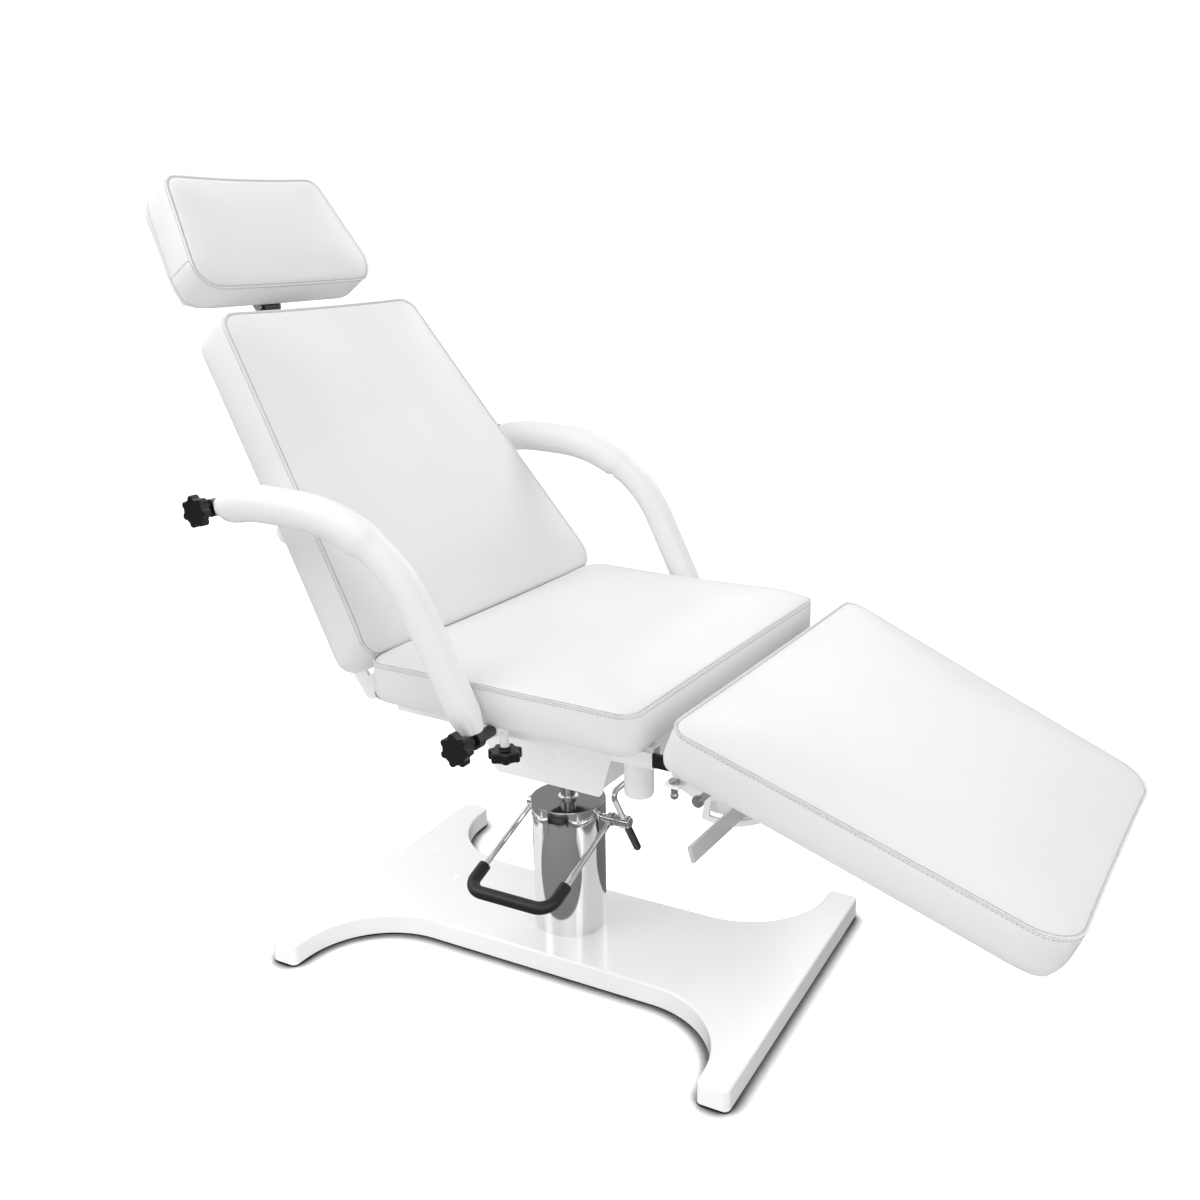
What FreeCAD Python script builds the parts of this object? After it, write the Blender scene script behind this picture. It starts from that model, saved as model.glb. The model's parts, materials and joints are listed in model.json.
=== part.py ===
import FreeCAD, Part
import os
from math import atan2, cos, degrees, hypot, radians, sin, tan

# Three-section treatment chair on a hydraulic pump and an H-shaped base plate.
# Millimetres. +X points to the foot end, +Y to the sitter's left, +Z up.
# The origin is on the floor, on the axis of the pump.

V = FreeCAD.Vector
UP = V(0, 0, 1)
ALONG = V(1, 0, 0)
ACROSS = V(0, 1, 0)
SIDES = {"right": -1, "left": 1}

# Clearances
SLIP = 0.05          # radial, a shaft that turns or slides in its bore
SEAT_GAP = 0.1       # a piece dropped into its hole or socket
SOFT_GAP = 0.4       # upholstery beside a neighbour
PLATE_GAP = 1.0      # plates that pass beside each other

# Base plate, in plan an H with four arcs
BASE_LENGTH = 808.0
BASE_WIDTH = 568.0
BASE_WAIST = 224.0
BASE_FOOT = 49.0
BASE_ARC = 150.0
BASE_CORNER = 9.0
BASE_TOP = 37.0
BASE_RIM_GAP = 3.0
BASE_WALL = 6.0
BASE_DECK = 7.0
BASE_EDGE = 4.0
BASE_TURN = 3.0      # degrees, how far the base stands turned under the seat
GLIDE_RADIUS = 17.0
GLIDE_PEG = 5.0
GLIDE_PEG_LENGTH = 14.0
GLIDE_INSET = 26.0
RIB = 5.0
RIB_SPACING = 150.0

# Pump
PUMP_RADIUS = 59.5
PUMP_WALL = 2.0
PUMP_TOP = 238.0
TANK_RADIUS = 46.0
TANK_WALL = 3.0
FLANGE_RADIUS = 57.0
FLANGE_HEIGHT = 8.0
PUMP_BOLT = 5.0
PUMP_BOLT_HEAD = 8.0
PUMP_BOLT_CIRCLE = 51.5
BARREL_BORE = 20.0
BARREL_WALL = 4.0
HEAD_RADIUS = 52.0
HEAD_HEIGHT = 50.0
COLLAR_RADIUS = 61.0
COLLAR_WALL = 1.4
COLLAR_TOP = 260.0
COLLAR_SKIRT = 46.0
COLLAR_SCALLOP = 32.0
NOTCH_WIDTH = 27.0
NOTCH_TOP = 250.0
NOTCH_AT = -80.0
GLAND_NECK = 14.5
GLAND_FLANGE = 16.4
GLAND_LIP = 4.0
GLAND_CHAMFER = 1.0

# Ram, in its lowest place, and what it carries
RAM_RADIUS = 12.5
RAM_FOOT = 50.0
RAM_TOP = 430.0
PISTON_HEIGHT = 22.0
WASHER_THICK = 3.8
HUB_RADIUS = 34.0
HUB_BOTTOM = 290.0
HUB_ROOF = 16.0
HUB_CHAMFER = 4.0

# Pedal and brake lever, both on pins across the top of the pump
PIN_RADIUS = 6.0
PIN_HEIGHT = 238.0
PIN_ROOT = 32.0
PEDAL_LEFT = -67.0
PEDAL_RIGHT = 79.0
PEDAL_ROD = 5.0
PEDAL_EYE = 11.0
PEDAL_EYE_WIDTH = 8.0
PEDAL_REACH = 208.0
PEDAL_SLOPE = 17.5
PEDAL_BEND = 26.0
SLEEVE_RADIUS = 10.0
SLEEVE_RISE = 26.0
LEVER_AT = 104.0
LEVER_ROD = 4.5
LEVER_HUB_WIDTH = 11.0
LEVER_SLOPE = 57.0   # degrees, of the handle
LEVER_UP = 81.0
LEVER_DOWN = 71.0
LEVER_TIP = 85.0
LEVER_BEND = 10.0
LEVER_BUTTON = 6.5
GRIP_RADIUS = 6.3
GRIP_FROM = 13.0
SPRING_WIRE = 1.2
SPRING_RADIUS = 8.6
SPRING_TURNS = 4
PIN_CAP = 8.5
PIN_CAP_THICK = 3.0

# Carriage that turns on the ram
CARRIAGE_HALF = 90.0
CARRIAGE_TOP_REAR = -130.0
CARRIAGE_TOP_FRONT = 161.0
CARRIAGE_LOW_REAR = -75.0
CARRIAGE_LOW_FRONT = 118.0
CARRIAGE_LOW = 324.0
CARRIAGE_WALL = 4.0
CARRIAGE_FOLD = 8.0
WEB_AT = 380.0
WEB_THICK = 6.0
POST_RADIUS = 22.0
POST_AT = 185.0
POST_LOW = 344.0
POST_DOME = 7.0
POST_MARGIN = 6.0

# Seat frame of tubes, and the seat on it
SEAM_HEIGHT = 561.0  # of the seat cushion, and all that it carries hangs from it
SEAT_BAND = 60.0
SEAT_UNDER = SEAM_HEIGHT - SEAT_BAND
BOARD_THICK = 12.0
RAIL_OUTER = 247.0
RAIL_WIDTH = 20.0
RAIL_HEIGHT = 30.0
RAIL_REAR = -132.0
RAIL_FRONT = 297.0
TUBE_WALL = 2.0
CROSS_WIDTH = 28.0
CROSS_PLACES = (-112.0, 152.0, 272.0)
SEAT_REAR = -142.0
SEAT_FRONT = 298.0
SEAT_HALF = 301.0
SEAT_CROWN = 34.0
CUSHION_CORNER = 30.0
CUSHION_EDGE = 12.0
BOARD_INSET = 14.0   # the cover wraps round the board's edge
CROWN_SHAPE = ((0, 0), (0.04, 0.25), (0.1, 0.5), (0.22, 0.78), (0.45, 1))  # inward share, rise share

# Backrest: its cushion thickness below the seam and its recline axis
BACK_HINGE_X = -158.0
BACK_HINGE_DROP = 67.0
BACK_HINGE_Z = SEAM_HEIGHT - BACK_HINGE_DROP
BACK_ANGLE = 54.6    # degrees above level, as it stands
BACK_LOW = -206.0    # end of the cushion when it lies level
BACK_LENGTH = 564.0
BACK_HALF_LOW = 302.0
BACK_HALF_TOP = 219.0
BACK_BAND = 77.0
BACK_HEEL = 12.0     # how far the underside reaches past the seam at the low end
BACK_CROWN = 20.0
RECLINE = 54.0       # degrees of travel down from where it stands
HINGE_PIN = 6.0
HINGE_EYE = 11.0
HINGE_PLATE = 5.0
HINGE_ROOT = 60.0    # length of the black plates along the rails
HINGE_TOP = SEAT_UNDER - 5.0
HINGE_HEAD = 4.0
LEAF_LENGTH = 120.0
LEAF_TIP = 8.0
LEAF_FLANGE = 26.0
BACK_PLATE_DEPTH = 26.0
BACK_PLATE_LENGTH = 130.0

# Leg rest
LEG_HINGE_X = 346.0
LEG_HINGE_DROP = 73.0
LEG_HINGE_Z = SEAM_HEIGHT - LEG_HINGE_DROP
LEG_ANGLE = 21.3     # degrees below level, as it stands
LEG_DROP = 60.0      # degrees of travel down from level
LEG_REAR = 321.0     # end of the cushion when it lies level
LEG_LENGTH = 519.0
LEG_HALF_REAR = 311.0
LEG_HALF_FOOT = 258.0
LEG_FOOT_CORNER = 60.0
LEG_BAND = 61.0
LEG_CROWN = 18.0

# Leg rest stay: a bar on the seat frame in slotted quadrants under the leg rest
BAR_ORBIT = 102.0
BAR_BEARING = -73.5  # degrees, seen from the leg hinge
BAR_WIDTH = 22.0
BAR_THICK = 6.0
BAR_WALL = 1.5
BAR_OUTER = 290.0
BAR_INNER = 172.0
BAR_SLACK = 0.7
QUADRANT_AT = 156.0
QUADRANT_PLATE = 5.0
QUADRANT_OUTER = 122.0
QUADRANT_RIM = 5.0   # degrees past each end of the slot
DETENT_RADIUS = 3.2
DETENT_STEP = 9.0
BAR_FIT = 0.02
STAY_ARM_AT = 140.0
STAY_LEAN = 4.0
ROD_ORBIT = 45.4
ROD_BEARING = -41.0   # on the level leg rest
ROD_RADIUS = 5.0
ROD_HALF = 262.0
ROD_FLANGE = 8.0
ROD_FLANGE_THICK = 4.0
STOP_AT_X = 347.0
STOP_AT_Y = 282.0
STOP_RADIUS = 4.5
STOP_LOW = SEAT_UNDER - 39.0
STOP_HEAD = 6.5
STOP_NUT = 4.5

# Armrests: a bent tube pinned under the seat and guided behind the backrest
ARM_PIVOT_X = 71.0
ARM_PIVOT_DROP = 65.0
ARM_PIVOT_Z = SEAM_HEIGHT - ARM_PIVOT_DROP
ARM_PLANE = 325.5    # of the lower eye
ARM_SPLAY = 9.5      # how much further out the rear eye is
ARM_BEARING = 148.9  # degrees, from the lower pivot to the upper stud
ARM_SPAN = 524.6
ARM_RATIO = 0.68     # of the recline
ARM_BENDS = ((-109, 216, 200), (-221, 281, 260), (-369, 286, 250))
ARM_TUBE = 11.0
ARM_EYE = 13.0
ARM_EYE_WIDTH = 14.0
PAD_LOW_RADIUS = 24.0
PAD_RADIUS = 27.5
PAD_GATHER = 7.0
PAD_TAPER = 15.0
PAD_REAR_GAP = 8.0   # bare bar between the pad and the rear eye
STUD_RADIUS = 5.0
STUB_RADIUS = 8.5
STUB_INSERT = 60.0
CROSS_TUBE_RADIUS = 11.0
CROSS_TUBE_HALF = 290.0
GUIDE_AT = 206.0
GUIDE_PLATE = 5.0
GUIDE_SLACK = 1.0
GUIDE_RIM = 10.0
GUIDE_STEPS = 8
GUIDE_BAR = 6.0
COLLAR_NUT = 8.0
COLLAR_NUT_THICK = 5.0

# Star knobs
KNOB_RADIUS = 19.5
KNOB_LOBE = 5.5
KNOB_LOBES = 7
KNOB_THICK = 14.0
KNOB_HUB = 8.5
KNOB_FACE = 358.4    # from the middle of the chair
KNOB_GRIP_DEPTH = 5.0
CLAMP_AT = 261.0
CLAMP_HUB_LENGTH = 5.0
CLAMP_SCREW = 4.0
CLAMP_BOSS = 6.5
CLAMP_BOSS_LENGTH = 22.5

# Headrest, on a bar in a sleeve behind the backrest
HEAD_GAP = 57.0      # beyond the end of the backrest cushion
HEAD_TILT = 3.8
HEAD_SEAM_DROP = 23.0
HEAD_LENGTH = 199.0
HEAD_HALF_LOW = 204.0
HEAD_HALF_TOP = 163.0
HEAD_BAND = 70.0
HEAD_CROWN = 18.0
HEAD_CORNER_LOW = 40.0
HEAD_CORNER_TOP = 26.0
HEAD_EDGE = 20.0
HEAD_BAR_WIDTH = 30.0
HEAD_BAR_THICK = 8.0
HEAD_BAR_LENGTH = 320.0
HEAD_BAR_GAP = 7.0   # under the head board
HEAD_SLEEVE_LENGTH = 150.0
HEAD_SLEEVE_INSET = 14.0
HEAD_SLEEVE_WALL = 3.0
HEAD_PIVOT_INSET = 10.0
HEAD_EYE = 9.0
HEAD_LUG_WIDTH = 6.0
HEAD_PIN = 4.0
LOCK_SCREW = 4.0


def rod(radius, start, end):
    """Solid round bar between two points."""
    return Part.makeCylinder(radius, (end - start).Length, start, end - start)


def tube(outer, inner, start, end):
    """Round tube between two points."""
    return rod(outer, start, end).cut(rod(inner, start, end))


def block(x0, x1, y0, y1, z0, z1):
    """Rectangular block from its limits."""
    return Part.makeBox(x1 - x0, y1 - y0, z1 - z0, V(x0, y0, z0))


def join(shapes):
    """One solid from touching or overlapping shapes."""
    shapes = list(shapes)
    return shapes[0].multiFuse(shapes[1:]).removeSplitter()


def group(shapes):
    """Separate solids kept in one node."""
    return Part.makeCompound(list(shapes))


def in_plan(u, v):
    return V(u, v, 0)


def in_side_view(u, v):
    return V(u, 0, v)


def outline(corners, radii, place=in_plan):
    """Closed wire through corners, each rounded by its own radius."""
    if isinstance(radii, (int, float)):
        radii = [radii] * len(corners)
    points = [place(u, v) for u, v in corners]
    arcs = []
    for i, here in enumerate(points):
        to_last = (points[i - 1] - here).normalize()
        to_next = (points[(i + 1) % len(points)] - here).normalize()
        half = to_last.getAngle(to_next) / 2
        middle = (to_last + to_next).normalize()
        start = here + to_last * (radii[i] / tan(half))
        end = here + to_next * (radii[i] / tan(half))
        top = here + middle * (radii[i] / sin(half) - radii[i])
        arcs.append((start, top, end))
    edges = []
    for i, (start, top, end) in enumerate(arcs):
        last_end = arcs[i - 1][2]
        if (start - last_end).Length > 1e-6:
            edges.append(Part.LineSegment(last_end, start).toShape())
        edges.append(Part.Arc(start, top, end).toShape())
    return Part.Wire(edges)


def slab(corners, radii, z0, z1):
    """Plate with a plan outline."""
    face = Part.Face(outline(corners, radii))
    face.translate(V(0, 0, z0))
    return face.extrude(V(0, 0, z1 - z0))


def upright(corners, radii, y0, y1):
    """Plate with a side-view outline, thick along Y."""
    face = Part.Face(outline(corners, radii, in_side_view))
    face.translate(V(0, y0, 0))
    return face.extrude(V(0, y1 - y0, 0))


def bent_path(points, bends):
    """Wire of straight runs through points, with an arc at each inner point."""
    edges = []
    last = points[0]
    for i, bend in enumerate(bends):
        here = points[i + 1]
        back = (points[i] - here).normalize()
        ahead = (points[i + 2] - here).normalize()
        half = back.getAngle(ahead) / 2
        start = here + back * (bend / tan(half))
        end = here + ahead * (bend / tan(half))
        top = here + (back + ahead).normalize() * (bend / sin(half) - bend)
        edges.append(Part.LineSegment(last, start).toShape())
        edges.append(Part.Arc(start, top, end).toShape())
        last = end
    edges.append(Part.LineSegment(last, points[-1]).toShape())
    return Part.Wire(edges)


def bent_bar(path, radius):
    """Round bar along a wire."""
    first = path.OrderedEdges[0]
    start = first.valueAt(first.FirstParameter)
    heading = first.tangentAt(first.FirstParameter)
    disc = Part.Face(Part.Wire(Part.makeCircle(radius, start, heading)))
    return path.makePipe(disc)


def turned(shape, degrees_up, x, z):
    """Shape turned about an axis across the chair, the foot end going down."""
    copy = shape.copy()
    copy.rotate(V(x, 0, z), ACROSS, degrees_up)
    return copy


def span(side, near, far):
    """Two Y limits, in order, of a piece on one side of the chair."""
    return sorted((side * near, side * far))


def polar(x, z, radius, bearing):
    """Point in the side view from a centre, a radius and degrees."""
    angle = radians(bearing)
    return x + radius * cos(angle), z + radius * sin(angle)


# Base plate

def base_corners(inset):
    """Corners of the H, the whole outline moved inwards."""
    end = BASE_LENGTH / 2 - inset
    side = BASE_WIDTH / 2 - inset
    foot = BASE_LENGTH / 2 - BASE_FOOT + inset
    waist = BASE_WAIST / 2 - inset
    quarter = [(end, side), (foot, side), (foot, waist)]
    upper = quarter + [(-x, y) for x, y in reversed(quarter)]
    return upper + [(-x, -y) for x, y in upper]


def base_radii(inset):
    outer = max(BASE_CORNER - inset, 1.0)
    arc = BASE_ARC + inset
    return [outer, outer, arc, arc, outer, outer] * 2


def glide_places():
    x = BASE_LENGTH / 2 - GLIDE_INSET
    y = BASE_WIDTH / 2 - GLIDE_INSET
    return [V(i * x, j * y, 0) for i in (-1, 1) for j in (-1, 1)]


def bolt_places():
    spots = [polar(0, 0, PUMP_BOLT_CIRCLE, 45 + 90 * i) for i in range(4)]
    return [V(x, y, 0) for x, y in spots]


def make_base_plate():
    deck_under = BASE_TOP - BASE_DECK
    plate = slab(base_corners(0), base_radii(0), BASE_RIM_GAP, BASE_TOP)
    rim = [e for e in plate.Edges if all(abs(v.Z - BASE_TOP) < 1e-6 for v in e.Vertexes)]
    plate = plate.makeFillet(BASE_EDGE, rim)
    hollow = slab(base_corners(BASE_WALL), base_radii(BASE_WALL), BASE_RIM_GAP, deck_under)
    reach = BASE_LENGTH
    low = BASE_RIM_GAP + RIB
    for place in (-RIB_SPACING, RIB_SPACING):
        hollow = hollow.cut(block(-reach, reach, place / 2, place / 2 + RIB, low, BASE_TOP))
        hollow = hollow.cut(block(place, place + RIB, -reach, reach, low, BASE_TOP))
    for p in glide_places():
        hollow = hollow.cut(Part.makeCylinder(GLIDE_RADIUS, BASE_TOP, p + UP * BASE_RIM_GAP))
    plate = plate.cut(hollow)
    for p in glide_places():
        hole = Part.makeCylinder(GLIDE_PEG + SEAT_GAP, GLIDE_PEG_LENGTH + 1, p + UP * BASE_RIM_GAP)
        plate = plate.cut(hole)
    for p in bolt_places():
        plate = plate.cut(Part.makeCylinder(PUMP_BOLT + SEAT_GAP, BASE_TOP, p))
    return plate


def make_glides():
    """Rubber foot under each corner, with a peg up into its boss."""
    pieces = []
    for p in glide_places():
        foot = Part.makeCone(GLIDE_RADIUS - 1, GLIDE_RADIUS, BASE_RIM_GAP, p)
        peg = Part.makeCylinder(GLIDE_PEG, GLIDE_PEG_LENGTH, p + UP * BASE_RIM_GAP)
        pieces.append(foot.fuse(peg).removeSplitter())
    return group(pieces)


def make_pump_bolts():
    """Bolts from under the deck up into the pump flange."""
    pieces = []
    head_height = PUMP_BOLT * 1.3
    deck_under = BASE_TOP - BASE_DECK
    for p in bolt_places():
        head = Part.makeCylinder(PUMP_BOLT_HEAD, head_height, p + UP * (deck_under - head_height))
        shank = Part.makeCylinder(PUMP_BOLT, BASE_DECK + FLANGE_HEIGHT - 1, p + UP * deck_under)
        pieces.append(head.fuse(shank).removeSplitter())
    return group(pieces)


# Pump

def make_pump_tank():
    foot = V(0, 0, BASE_TOP)
    top = V(0, 0, COLLAR_TOP - COLLAR_WALL - HEAD_HEIGHT)
    tank = join([
        Part.makeCylinder(FLANGE_RADIUS, FLANGE_HEIGHT, foot),
        tube(TANK_RADIUS, TANK_RADIUS - TANK_WALL, foot, top),
    ])
    for p in bolt_places():
        tank = tank.cut(Part.makeCylinder(PUMP_BOLT + SEAT_GAP, FLANGE_HEIGHT - 0.5, p + UP * BASE_TOP))
    return tank


def barrel_top():
    return PUMP_TOP + 2


def make_ram_barrel():
    foot = V(0, 0, BASE_TOP + FLANGE_HEIGHT)
    return tube(BARREL_BORE + BARREL_WALL, BARREL_BORE, foot, V(0, 0, barrel_top()))


def make_pump_head():
    """Cast head: holds the barrel, the gland and the two cross pins."""
    top = COLLAR_TOP - COLLAR_WALL
    low = top - HEAD_HEIGHT
    head = Part.makeCylinder(HEAD_RADIUS, HEAD_HEIGHT, V(0, 0, low))
    head = head.makeChamfer(2.0, [e for e in head.Edges if abs(e.BoundBox.ZMin - top) < 1e-6])
    bore = BARREL_BORE + BARREL_WALL + SEAT_GAP
    head = head.cut(Part.makeCylinder(bore, barrel_top() - low, V(0, 0, low)))
    head = head.cut(Part.makeCylinder(GLAND_NECK + SEAT_GAP, top, V(0, 0, low)))
    for way in (-1, 1):
        start = V(way * PIN_ROOT, 0, PIN_HEIGHT)
        head = head.cut(rod(PIN_RADIUS + SEAT_GAP, start, start + ALONG * way * HEAD_RADIUS))
    return head


def make_pump_cover():
    """Bright outer tube, notched at the top for the cross pins."""
    cover = tube(PUMP_RADIUS, PUMP_RADIUS - PUMP_WALL, V(0, 0, BASE_TOP), V(0, 0, PUMP_TOP))
    reach = ALONG * (PUMP_RADIUS + 5)
    pin = V(0, 0, PIN_HEIGHT)
    return cover.cut(rod(PIN_RADIUS + 2, pin - reach, pin + reach))


def make_pump_collar():
    """Bright cap with a scalloped skirt and a window over the pedal cam."""
    low = COLLAR_TOP - COLLAR_SKIRT
    inner = COLLAR_RADIUS - COLLAR_WALL
    cap = Part.makeCylinder(COLLAR_RADIUS, COLLAR_SKIRT, V(0, 0, low))
    rim = [e for e in cap.Edges if abs(e.BoundBox.ZMin - COLLAR_TOP) < 1e-6]
    cap = cap.makeFillet(1.5, rim)
    cap = cap.cut(Part.makeCylinder(inner, COLLAR_SKIRT - COLLAR_WALL, V(0, 0, low)))
    cap = cap.cut(Part.makeCylinder(GLAND_NECK + SEAT_GAP, COLLAR_TOP, V(0, 0, low)))
    for way in (-1, 1):
        x = way * COLLAR_RADIUS
        z = PIN_HEIGHT - PIN_RADIUS - COLLAR_SCALLOP
        cap = cap.cut(rod(COLLAR_SCALLOP, V(x, -COLLAR_RADIUS, z), V(x, COLLAR_RADIUS, z)))
    pin = V(0, 0, PIN_HEIGHT)
    reach = ALONG * (COLLAR_RADIUS + 5)
    cap = cap.cut(rod(PIN_RADIUS + 1, pin - reach, pin + reach))
    notch = block(inner / 2, COLLAR_RADIUS + 5, -NOTCH_WIDTH / 2, NOTCH_WIDTH / 2, low - 1, NOTCH_TOP)
    top_edges = [e for e in notch.Edges if abs(e.BoundBox.ZMin - NOTCH_TOP) < 1e-6
                 and abs(e.BoundBox.YLength) < 1e-6]
    notch = notch.makeFillet(3.0, top_edges)
    notch.rotate(V(0, 0, 0), UP, NOTCH_AT)
    return cap.cut(notch)


def make_gland_ring():
    low = barrel_top()
    neck = Part.makeCylinder(GLAND_NECK, COLLAR_TOP - low, V(0, 0, low))
    lip = Part.makeCylinder(GLAND_FLANGE, GLAND_LIP, V(0, 0, COLLAR_TOP))
    top = COLLAR_TOP + GLAND_LIP
    lip = lip.makeChamfer(GLAND_CHAMFER, [e for e in lip.Edges if abs(e.BoundBox.ZMin - top) < 1e-6])
    bore = Part.makeCylinder(RAM_RADIUS + SLIP, COLLAR_TOP, V(0, 0, low))
    return neck.fuse(lip).cut(bore).removeSplitter()


def make_lift_ram():
    ram = Part.makeCylinder(RAM_RADIUS, RAM_TOP - RAM_FOOT, V(0, 0, RAM_FOOT))
    return ram.makeChamfer(1.5, [e for e in ram.Edges if abs(e.BoundBox.ZMin - RAM_TOP) < 1e-6])


def make_ram_piston():
    foot = V(0, 0, RAM_FOOT)
    ring = tube(BARREL_BORE - SLIP, RAM_RADIUS, foot, foot + UP * PISTON_HEIGHT)
    middle = RAM_FOOT + PISTON_HEIGHT / 2
    groove = tube(BARREL_BORE, BARREL_BORE - 2, V(0, 0, middle - 2), V(0, 0, middle + 2))
    return ring.cut(groove)


def make_thrust_washer():
    return Part.makeCylinder(RAM_RADIUS - SEAT_GAP, WASHER_THICK, V(0, 0, RAM_TOP))


# Pedal and brake lever

def make_cross_pins():
    pin = V(0, 0, PIN_HEIGHT)
    left_end = PEDAL_LEFT - PEDAL_EYE_WIDTH / 2 - 1
    right_end = LEVER_AT + LEVER_HUB_WIDTH / 2 + 1
    left = join([
        rod(PIN_RADIUS, pin - ALONG * PIN_ROOT, pin + ALONG * left_end),
        rod(PIN_CAP, pin + ALONG * left_end, pin + ALONG * (left_end - PIN_CAP_THICK)),
    ])
    right = join([
        rod(PIN_RADIUS, pin + ALONG * PIN_ROOT, pin + ALONG * right_end),
        rod(PIN_CAP, pin + ALONG * right_end, pin + ALONG * (right_end + PIN_CAP_THICK)),
    ])
    return group([left, right])


def pedal_points():
    """Centre line of the U, from one eye round the cross bar to the other."""
    slope = radians(PEDAL_SLOPE)
    heading = V(0, -cos(slope), -sin(slope))
    left = V(PEDAL_LEFT, 0, PIN_HEIGHT)
    right = V(PEDAL_RIGHT, 0, PIN_HEIGHT)
    start = heading * (PEDAL_EYE - 2)
    end = heading * PEDAL_REACH
    return [left + start, left + end, right + end, right + start]


def make_pedal_frame():
    path = bent_path(pedal_points(), [PEDAL_BEND, PEDAL_BEND])
    frame = bent_bar(path, PEDAL_ROD)
    for x in (PEDAL_LEFT, PEDAL_RIGHT):
        start = V(x - PEDAL_EYE_WIDTH / 2, 0, PIN_HEIGHT)
        end = start + ALONG * PEDAL_EYE_WIDTH
        frame = frame.fuse(rod(PEDAL_EYE, start, end))
    for x in (PEDAL_LEFT, PEDAL_RIGHT):
        start = V(x - PEDAL_EYE_WIDTH, 0, PIN_HEIGHT)
        frame = frame.cut(rod(PIN_RADIUS + SLIP, start, start + ALONG * 2 * PEDAL_EYE_WIDTH))
    return frame.removeSplitter()


def make_pedal_sleeve():
    """Rubber sleeve over the cross bar and a little way up both legs."""
    points = pedal_points()
    up = (points[0] - points[1]).normalize() * (PEDAL_BEND + SLEEVE_RISE)
    path = bent_path([points[1] + up, points[1], points[2], points[2] + up], [PEDAL_BEND, PEDAL_BEND])
    return bent_bar(path, SLEEVE_RADIUS).cut(bent_bar(path, PEDAL_ROD))


def lever_points():
    """Bottom of the handle, the bend and the tip."""
    slope = radians(LEVER_SLOPE)
    heading = V(0, -cos(slope), sin(slope))
    hub = V(LEVER_AT, 0, PIN_HEIGHT)
    bend = hub + heading * LEVER_UP
    return [hub - heading * LEVER_DOWN, bend, bend + ACROSS * LEVER_TIP]


def make_brake_lever():
    low, bend, tip = lever_points()
    lever = bent_bar(bent_path([low, bend, tip], [LEVER_BEND]), LEVER_ROD)
    button = rod(LEVER_BUTTON, tip - ACROSS * 3, tip + ACROSS)
    start = V(LEVER_AT - LEVER_HUB_WIDTH / 2, 0, PIN_HEIGHT)
    end = start + ALONG * LEVER_HUB_WIDTH
    lever = lever.fuse([button, rod(PEDAL_EYE, start, end)])
    return lever.cut(rod(PIN_RADIUS + SLIP, start - ALONG, end + ALONG)).removeSplitter()


def make_lever_grip():
    low, bend, tip = lever_points()
    down = (low - bend).normalize()
    hub = V(LEVER_AT, 0, PIN_HEIGHT)
    top = hub + down * GRIP_FROM
    end = low + down * 4
    grip = rod(GRIP_RADIUS, top, end)
    grip = grip.fuse(Part.makeSphere(GRIP_RADIUS, end))
    return grip.cut(rod(LEVER_ROD, top - down, low)).removeSplitter()


def make_lever_spring():
    """Return spring round the pin, between the pedal and the lever."""
    start = PEDAL_RIGHT + PEDAL_EYE_WIDTH / 2 + SPRING_WIRE + 0.3
    end = LEVER_AT - LEVER_HUB_WIDTH / 2 - SPRING_WIRE - 0.3
    pitch = (end - start) / SPRING_TURNS
    helix = Part.makeHelix(pitch, end - start, SPRING_RADIUS)
    ring = Part.Wire(Part.makeCircle(SPRING_WIRE, V(SPRING_RADIUS, 0, 0), ACROSS))
    coil = Part.Wire(helix).makePipeShell([ring], True, True)
    coil.rotate(V(0, 0, 0), ACROSS, 90)
    coil.translate(V(start, 0, PIN_HEIGHT))
    return coil


# Carriage and seat frame

def hub_bore_top():
    return RAM_TOP + WASHER_THICK + SEAT_GAP


def make_swivel_hub():
    """Bored hub that turns on the ram."""
    body = Part.makeCylinder(HUB_RADIUS, hub_bore_top() + HUB_ROOF - HUB_BOTTOM, V(0, 0, HUB_BOTTOM))
    low = [e for e in body.Edges if abs(e.BoundBox.ZMax - HUB_BOTTOM) < 1e-6]
    body = body.makeChamfer(HUB_CHAMFER, low)
    return body.cut(Part.makeCylinder(RAM_RADIUS + SLIP, hub_bore_top() - HUB_BOTTOM, V(0, 0, HUB_BOTTOM)))


def frame_under():
    return SEAT_UNDER - RAIL_HEIGHT


def carriage_corners(inset, low):
    """Trapezoid of the carriage in side view, moved inwards."""
    top = frame_under() - inset
    return [(CARRIAGE_LOW_REAR + inset, low), (CARRIAGE_LOW_FRONT - inset, low),
            (CARRIAGE_TOP_FRONT - inset, top), (CARRIAGE_TOP_REAR + inset, top)]


def make_carriage_box():
    """Folded steel box, open below, with a web that holds the hub."""
    y = CARRIAGE_HALF
    wall = CARRIAGE_WALL
    fold = [CARRIAGE_FOLD] * 4
    box = upright(carriage_corners(0, CARRIAGE_LOW), fold, -y, y)
    hollow = carriage_corners(wall, CARRIAGE_LOW - 2 * CARRIAGE_FOLD)
    box = box.cut(upright(hollow, fold, -y + wall, y - wall))
    web = upright(carriage_corners(wall / 2, CARRIAGE_LOW), fold, -y + wall / 2, y - wall / 2)
    reach = 2 * (CARRIAGE_TOP_FRONT - CARRIAGE_TOP_REAR)
    web = web.common(block(-reach, reach, -y, y, WEB_AT, WEB_AT + WEB_THICK))
    hole = Part.makeCylinder(HUB_RADIUS + SEAT_GAP, WEB_THICK + 2, V(0, 0, WEB_AT - 1))
    return box.fuse(web).cut(hole).removeSplitter()


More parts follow.
